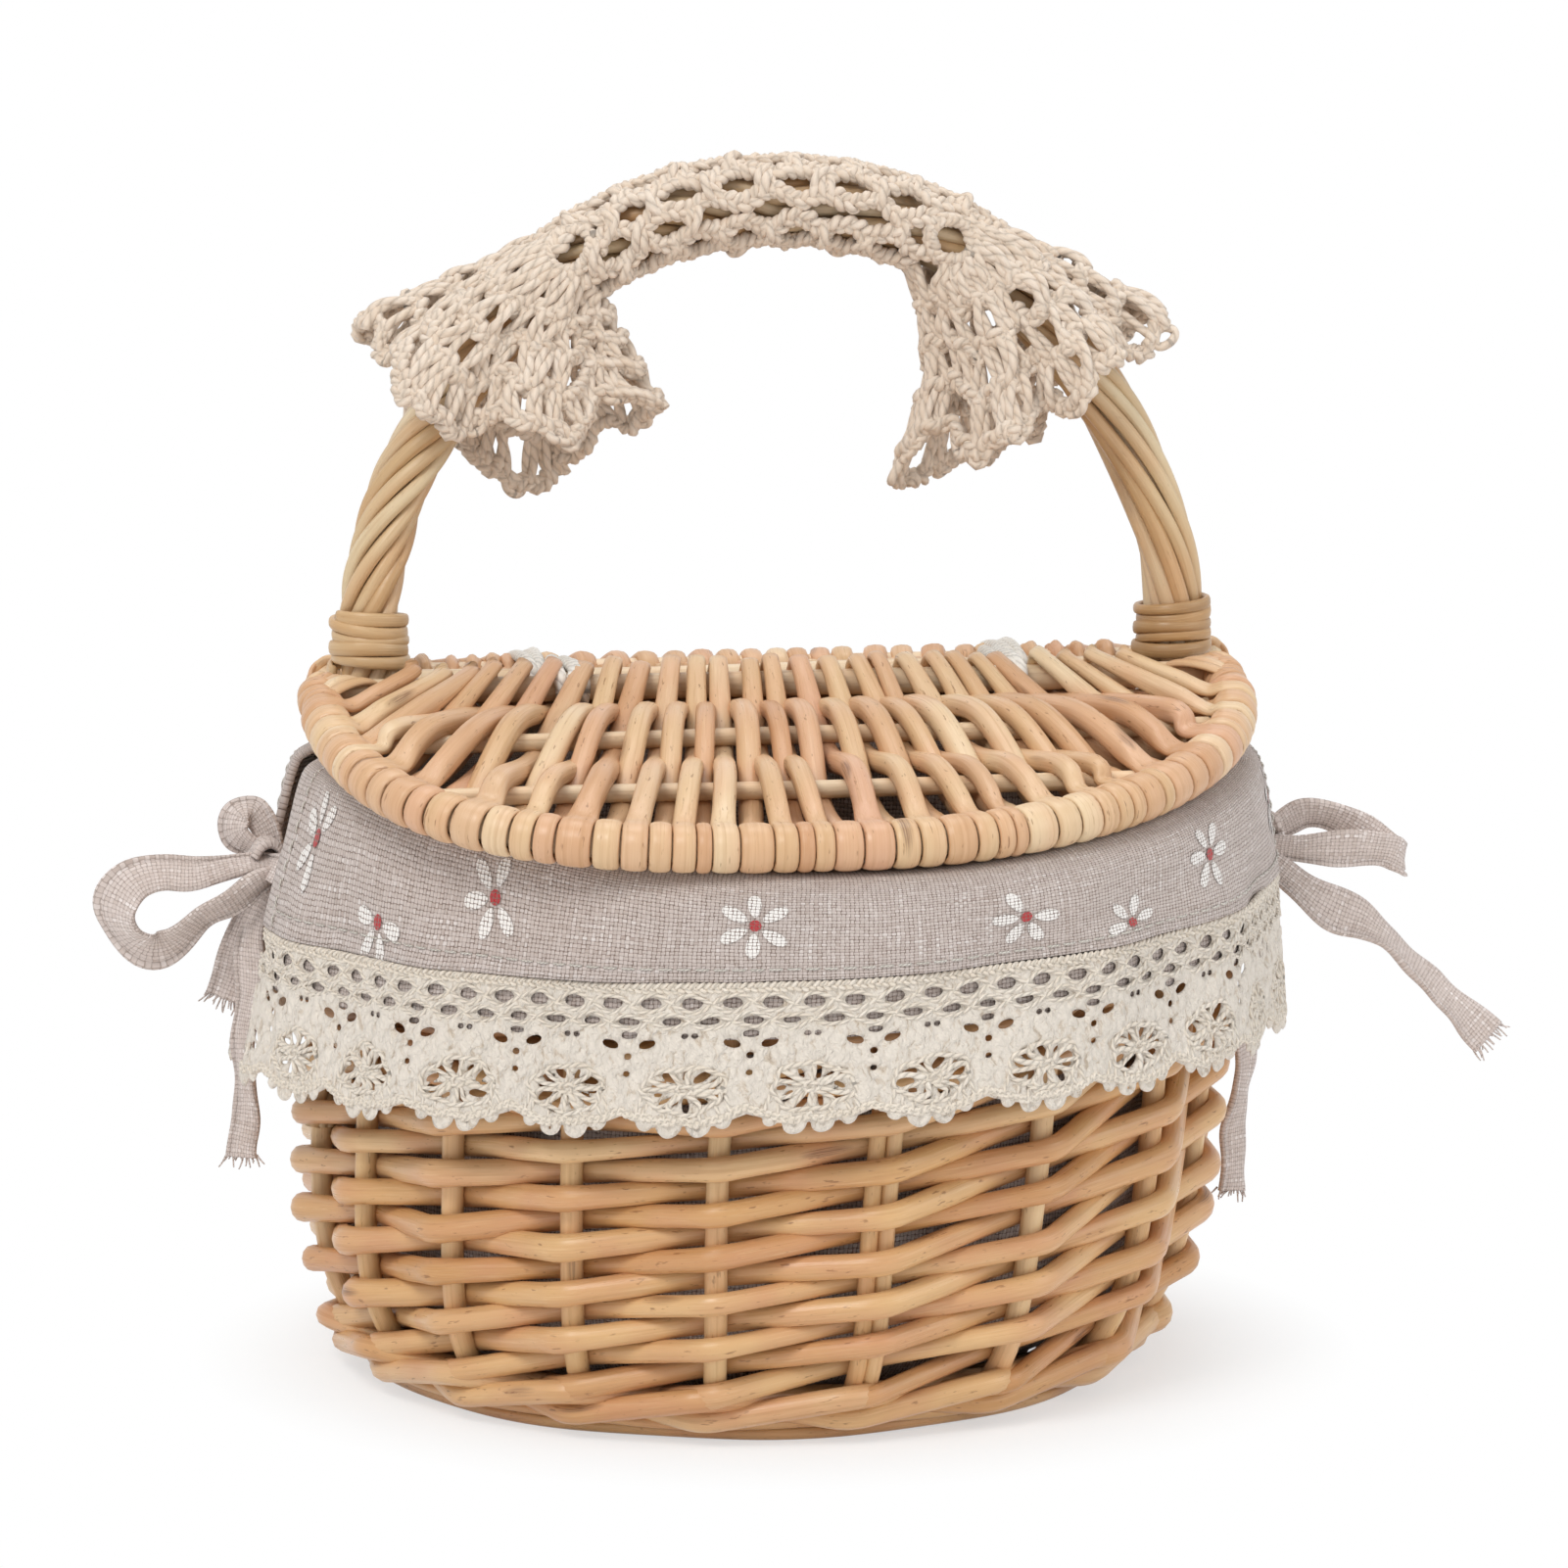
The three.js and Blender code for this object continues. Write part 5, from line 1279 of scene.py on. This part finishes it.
YARN = 1.16
SLEEVE, SLEEVE_RISE = 10.0, 0.8
CHAINS = 9
CHAIN_STEP = TAU / CHAINS
MESH = 14.0
BOW_R = (HANDLE_HALF + HANDLE_ARCH) / 2
RINGS = (0.31, 0.53, 0.75, 0.96)  # shares of the skirt at which its rounds lie
ROUND_PITCH = (7.2, 7.4, 7.6, 7.8)
STITCHES = (25, 36, 50)  # tall stitches between one round and the next
STITCH_TURNS = (0.5, 0.45, 0.5)
HOLE_LONG, HOLE_WIDE = 6.2, 5.2
# For each end: where the sleeve stops outside and inside the bow, the hole, and points of the skirt's rim.
# Angles are degrees from the top of the bow, the rest millimetres out from its line and to the rear.
FLARES = {
    -1: {"outer": 36, "inner": 30, "phase": 0.6, "hole": (31.0, -64), "rim": [
        (55.0, 27, 0), (58.5, 17, 12), (61.5, -2, 18), (63, -19, 18), (60.5, -35, 15), (47, -40, 8),
        (31, -40, -6), (47, -30, -17), (57, -13, -21), (59.5, 1, -21), (59.5, 15, -19), (57.5, 23, -12)]},
    1: {"outer": 33, "inner": 21, "phase": 2.1, "hole": (25.0, -90), "rim": [
        (55, 23, 0), (55.5, 10, 11), (56.5, -8, 17), (57.5, -27, 18), (55, -40, 15), (48, -52, 8),
        (42, -49, -3), (51, -34, -15), (54, -18, -19), (53, -6, -20), (54, 5, -18), (54.5, 15, -11)]},
}
for e in FLARES.values():
    e["rim"] = spline(e["rim"], 240, True)


def on_bow(a, out, y):
    """A point at angle a from the top of the bow, 'out' beyond its line and y to the rear."""
    grow = 1 + out / BOW_R
    x = HANDLE_HALF * grow * np.sin(a) * (1 - BOW_WAIST * np.sin(2 * a) ** 2)
    return np.stack(np.broadcast_arrays(x, y, ARCH_Z + HANDLE_ARCH * grow * np.cos(a)), -1)


def sleeve(a, phi, lift):
    return on_bow(a, SLEEVE_RISE + (SLEEVE + lift) * np.cos(phi), (SLEEVE + lift) * np.sin(phi))


def sleeve_end(side, phi):
    e = FLARES[side]
    return math.radians(1) * (e["outer"] + (e["inner"] - e["outer"]) * (1 - np.cos(phi)) / 2)


def flare(side, g, phi, lift):
    """The ruffled skirt at one end: g runs from the sleeve, 0, to the rim, 1."""
    e = FLARES[side]
    a0 = np.degrees(sleeve_end(side, phi))
    at = (np.asarray(phi, float) / TAU % 1.0) * len(e["rim"])
    ring = np.vstack([e["rim"], e["rim"][:1]])
    a1, out1, y1 = (np.interp(at, np.arange(len(ring)), column) for column in ring.T)
    out0, y0 = SLEEVE_RISE + SLEEVE * np.cos(phi), SLEEVE * np.sin(phi)
    w0, w1, w2 = (1 - g) ** 2, 2 * g * (1 - g), g**2
    a = w0 * a0 + w1 * (a0 + 0.45 * (a1 - a0)) + w2 * a1 + 1.6 * g**2 * np.cos(6 * phi + e["phase"])
    ruffle = 3.9 * g**2 * np.sin(6 * phi + e["phase"]) + 1.5 * g * np.sin(11 * phi + 2 * e["phase"]) + lift
    out = w0 * out0 + w1 * (0.9 * out0 + 0.2 * out1) + w2 * out1 + ruffle * np.cos(phi)
    y = w0 * y0 + w1 * y0 * 1.3 + w2 * y1 + ruffle * np.sin(phi)
    return on_bow(side * np.radians(a), out, y)


def work_frame(line, closed=False):
    """Points of a line on the work, with directions across it and out of it, and the length so far."""
    base = line(0.0)
    out = unit(line(1.0) - base)
    along = np.roll(base, -1, 0) - np.roll(base, 1, 0) if closed else np.gradient(base, axis=0)
    return base, out, unit(np.cross(out, unit(along))), run_along(base)


def chain(build, line, pitch, closed=False, wide=1.5):
    """Three strands plaited along a line, as a row of chain stitches looks."""
    base, out, across, run = work_frame(line, closed)
    whole = run[-1] + (np.linalg.norm(base[0] - base[-1]) if closed else 0)
    turns = max(1, round(whole / pitch))
    for k in range(3):
        ph = TAU * (run / whole * turns + k / 3)
        loose = 1 + 0.24 * np.sin(TAU * run / whole * round(turns * 0.37) + rng.uniform(0, TAU))
        path = base + across * (wide * loose * np.sin(ph))[:, None]
        path = path + out * (0.8 * loose * np.sin(2 * ph))[:, None]
        build.tube(path, YARN * rng.uniform(0.94, 1.08), sides=8, closed=closed)


def post(build, line, turns, wide=1.05):
    """A tall stitch: two strands that wind round each other."""
    base, out, across, run = work_frame(line)
    f = run / run[-1]
    lean = rng.uniform(0, TAU)
    bow_side, bow_out = rng.normal(0, 0.85), rng.normal(0.3, 0.7)
    base = base + (across * bow_side + out * bow_out) * np.sin(PI * f)[:, None]
    for k in range(2):
        ph = TAU * (turns * f + k / 2) + lean
        path = base + across * (wide * np.cos(ph))[:, None] + out * (0.7 * wide * np.sin(ph))[:, None]
        build.tube(path, YARN * rng.uniform(0.92, 1.08), sides=8)


def turned(phi):
    """The same angle between minus and plus half a turn."""
    return (phi + PI) % TAU - PI


def sleeve_work(build):
    """Chains along the sleeve with pairs of slanted stitches between them."""
    for k in range(CHAINS):
        phi0 = CHAIN_STEP * k
        signed = turned(phi0)
        ends = []
        for side in (-1, 1):
            hole_a, hole_phi = np.radians(FLARES[side]["hole"])
            near = min(abs(signed - hole_phi), abs(signed + hole_phi)) < math.radians(22)
            ends.append(side * (hole_a - 0.056 if near else float(sleeve_end(side, phi0))))
        a = np.linspace(*ends, 240)
        wave = math.radians(6.5) * np.sin(TAU * a * BOW_R / MESH + k * PI) + 0.05 * np.sin(a * 31 + k * 2.1)
        chain(build, lambda lift: sleeve(a, phi0 + wave, lift), 8.2)
        for j in range(-8, 9):
            mid = (j + (0.25 if k % 2 == 0 else 0.75)) * MESH / BOW_R
            # the stitches stay off the ends, and leave a gap at the top of the front
            gap = abs(signed + 3 * CHAIN_STEP) < 0.2 and abs(mid) < 0.22
            if gap or not ends[0] + 0.03 < mid < ends[1] - 0.03:
                continue
            for lean in (-1.7, 1.7):
                f = np.linspace(-0.06, 1.06, 12)
                at = mid + (lean * (f - 0.5) * 1.6 + rng.normal(0, 0.4)) / BOW_R
                swell = 0.5 * np.sin(PI * np.clip(f, 0, 1))
                post(build, lambda lift: sleeve(at, phi0 + f * CHAIN_STEP, lift + swell), 0.5)


def hole_work(build, side):
    """The rim of each hole, then a fan of tall stitches from it to the skirt's first round."""
    hole_a, hole_phi = np.radians(FLARES[side]["hole"])
    b = np.linspace(0, TAU, 40)[:-1]
    for centre in (hole_phi, -hole_phi):
        a, phi = side * hole_a + HOLE_LONG * np.cos(b) / BOW_R, centre + HOLE_WIDE * np.sin(b) / SLEEVE
        chain(build, lambda lift: sleeve(a, phi, lift + 0.3), 6.0, True, 1.0)
        for beta in np.radians(np.linspace(-84, 84, 13)):
            root_a = side * (hole_a + 6.3 * math.cos(beta) / BOW_R)
            root = sleeve(root_a, centre + 5.5 * math.sin(beta) / SLEEVE, 0.4)
            land = centre + beta * 0.62
            end, near_end = flare(side, RINGS[0], land, 0.2), flare(side, RINGS[0] - 0.14, land, 0.6)
            pts = spline([root, 0.5 * (root + near_end), near_end, end], 14)
            up = unit(flare(side, 0.2, land, 1.0) - flare(side, 0.2, land, 0.0))
            post(build, lambda lift: pts + up * lift, 0.8, 0.95)
    for phi in np.arange(0, TAU, 0.3):
        if min(abs(turned(phi) - hole_phi), abs(turned(phi) + hole_phi)) < 0.95:
            continue
        g = np.linspace(-0.02, RINGS[0], 14)
        post(build, lambda lift: flare(side, g, phi + 0.05 * np.sin(g * 9), lift), 0.8)


def skirt_work(build, side):
    """Rounds of chain on the skirt, tall stitches between them and picots on the last."""
    phi = np.linspace(0, TAU, 361)[:-1]
    jog = 0.028 * np.sin(phi * 13 + side) + 0.018 * np.sin(phi * 29 + 1) + 0.02 * np.sin(phi * 5)
    scallop = 0.035 * np.abs(np.sin(5.5 * phi)) - 0.02
    for ring, pitch in zip(RINGS, ROUND_PITCH):
        g = ring + (jog + scallop if ring == RINGS[-1] else jog)
        chain(build, lambda lift: flare(side, g, phi, lift), pitch, True)
    for n, lo, hi, turns in zip(STITCHES, RINGS, RINGS[1:], STITCH_TURNS):
        for j in range(n):
            mid = TAU * (j + 0.5) / n + rng.normal(0, 0.045)
            g = np.linspace(lo - 0.01, hi + 0.01, 14)
            f = (g - lo) / (hi - lo)
            if n == STITCHES[-1]:
                gather = (((j % 4) - 1.5) * -0.035) * (1 - f)
            else:
                gather = 0.12 * (f - 0.5) * (1 if j % 2 else -0.6)
            post(build, lambda lift: flare(side, g, mid + gather, lift + 0.4 * np.sin(PI * f)), turns)
    b = np.linspace(0, TAU, 26)[:-1]
    for j in range(11):
        mid = TAU * (j + 0.5) / 11
        picot = flare(side, 0.985 + 0.035 * np.cos(b), mid + 0.06 * np.sin(b), 0.5 * np.sin(2 * b))
        build.tube(picot, YARN, sides=8, closed=True)


cover = Build()
sleeve_work(cover)
for side in (-1, 1):
    hole_work(cover, side)
    skirt_work(cover, side)
cover.make("handle_cover_crochet", m_crochet, "basket", "crochet", ["handle_cover"])


# Each half's cloth, print, stitches and lace, and each tie's knot, taken up again by name; nothing more is
# done with them

for name in ("front", "rear"):
    cuff, flowers, seams = sheets[name]
    body, braid = sheets[f"lace_{name}"]
for name, length in tie_lengths.items():
    knot = ties[name.split("_")[0] + "_knot"]


# Floor, light and background

def rays_seen(s):
    """One for rays on which the white ground should look white."""
    eye = s.node("LightPath").node.outputs
    others = s.math("MAXIMUM", eye["Is Glossy Ray"], eye["Is Transmission Ray"])
    return s.math("MAXIMUM", eye["Is Camera Ray"], others)


bpy.ops.mesh.primitive_circle_add(vertices=96, radius=4.0, fill_type="NGON")
floor = bpy.context.object
floor.name = "floor"
s = Shade("floor_paper")
place = s.node("NewGeometry")
far = s.node("VectorMath", 1, {"operation": "LENGTH"}, i0=place)
grain = s.noise(place, 60.0, 3)
paper = s.mix(grain, srgb(250, 250, 250), srgb(254, 254, 254))
s.set(Base_Color=paper, Roughness=0.9, Specular_IOR_Level=0.1)
glow = s.node("Emission", Color=(1, 1, 1, 1), Strength=1.0)
# shadows show only close to the hamper
blend = s.times(s.ranged(far, 0.1, 0.15, 0.55, 1.0), rays_seen(s))
surface = s.tree.nodes["Material Output"].inputs["Surface"]
s.put(surface, s.node("MixShader", i0=blend, i1=s.bsdf.outputs[0], i2=glow))
floor.data.materials.append(s.material)

WORLD_LIGHT = 0.57
LAMP_AIM = Vector((0, 0, 0.12))


class Sky(Shade):
    """The world's nodes, under the same short names."""

    def __init__(self, name):
        self.world = bpy.data.worlds.new(name)
        self.world.use_nodes = True
        self.tree = self.world.node_tree
        self.bsdf = self.tree.nodes["Background"]


sky = Sky("studio")
scene.world = sky.world
strength = sky.node("Mix", props={"data_type": "FLOAT"}, i0=rays_seen(sky), i2=WORLD_LIGHT, i3=1.0)
sky.set(Strength=strength, Color=(1, 1, 1, 1))


def lamp(name, at, size, power, colour=(1, 1, 1)):
    data = bpy.data.lights.new(name, "AREA")
    data.shape = "DISK"
    data.size = size
    data.energy = power
    data.color = colour
    obj = bpy.data.objects.new(name, data)
    obj.location = at
    obj.rotation_euler = (LAMP_AIM - Vector(at)).to_track_quat("-Z", "Y").to_euler()
    scene.collection.objects.link(obj)


lamp("key", (-0.9, -1.1, 1.5), 0.7, 15.0, (1.0, 0.985, 0.96))
lamp("fill", (1.3, -0.9, 0.8), 1.2, 5.4)
lamp("top", (0.1, 0.3, 1.8), 1.2, 8.2)
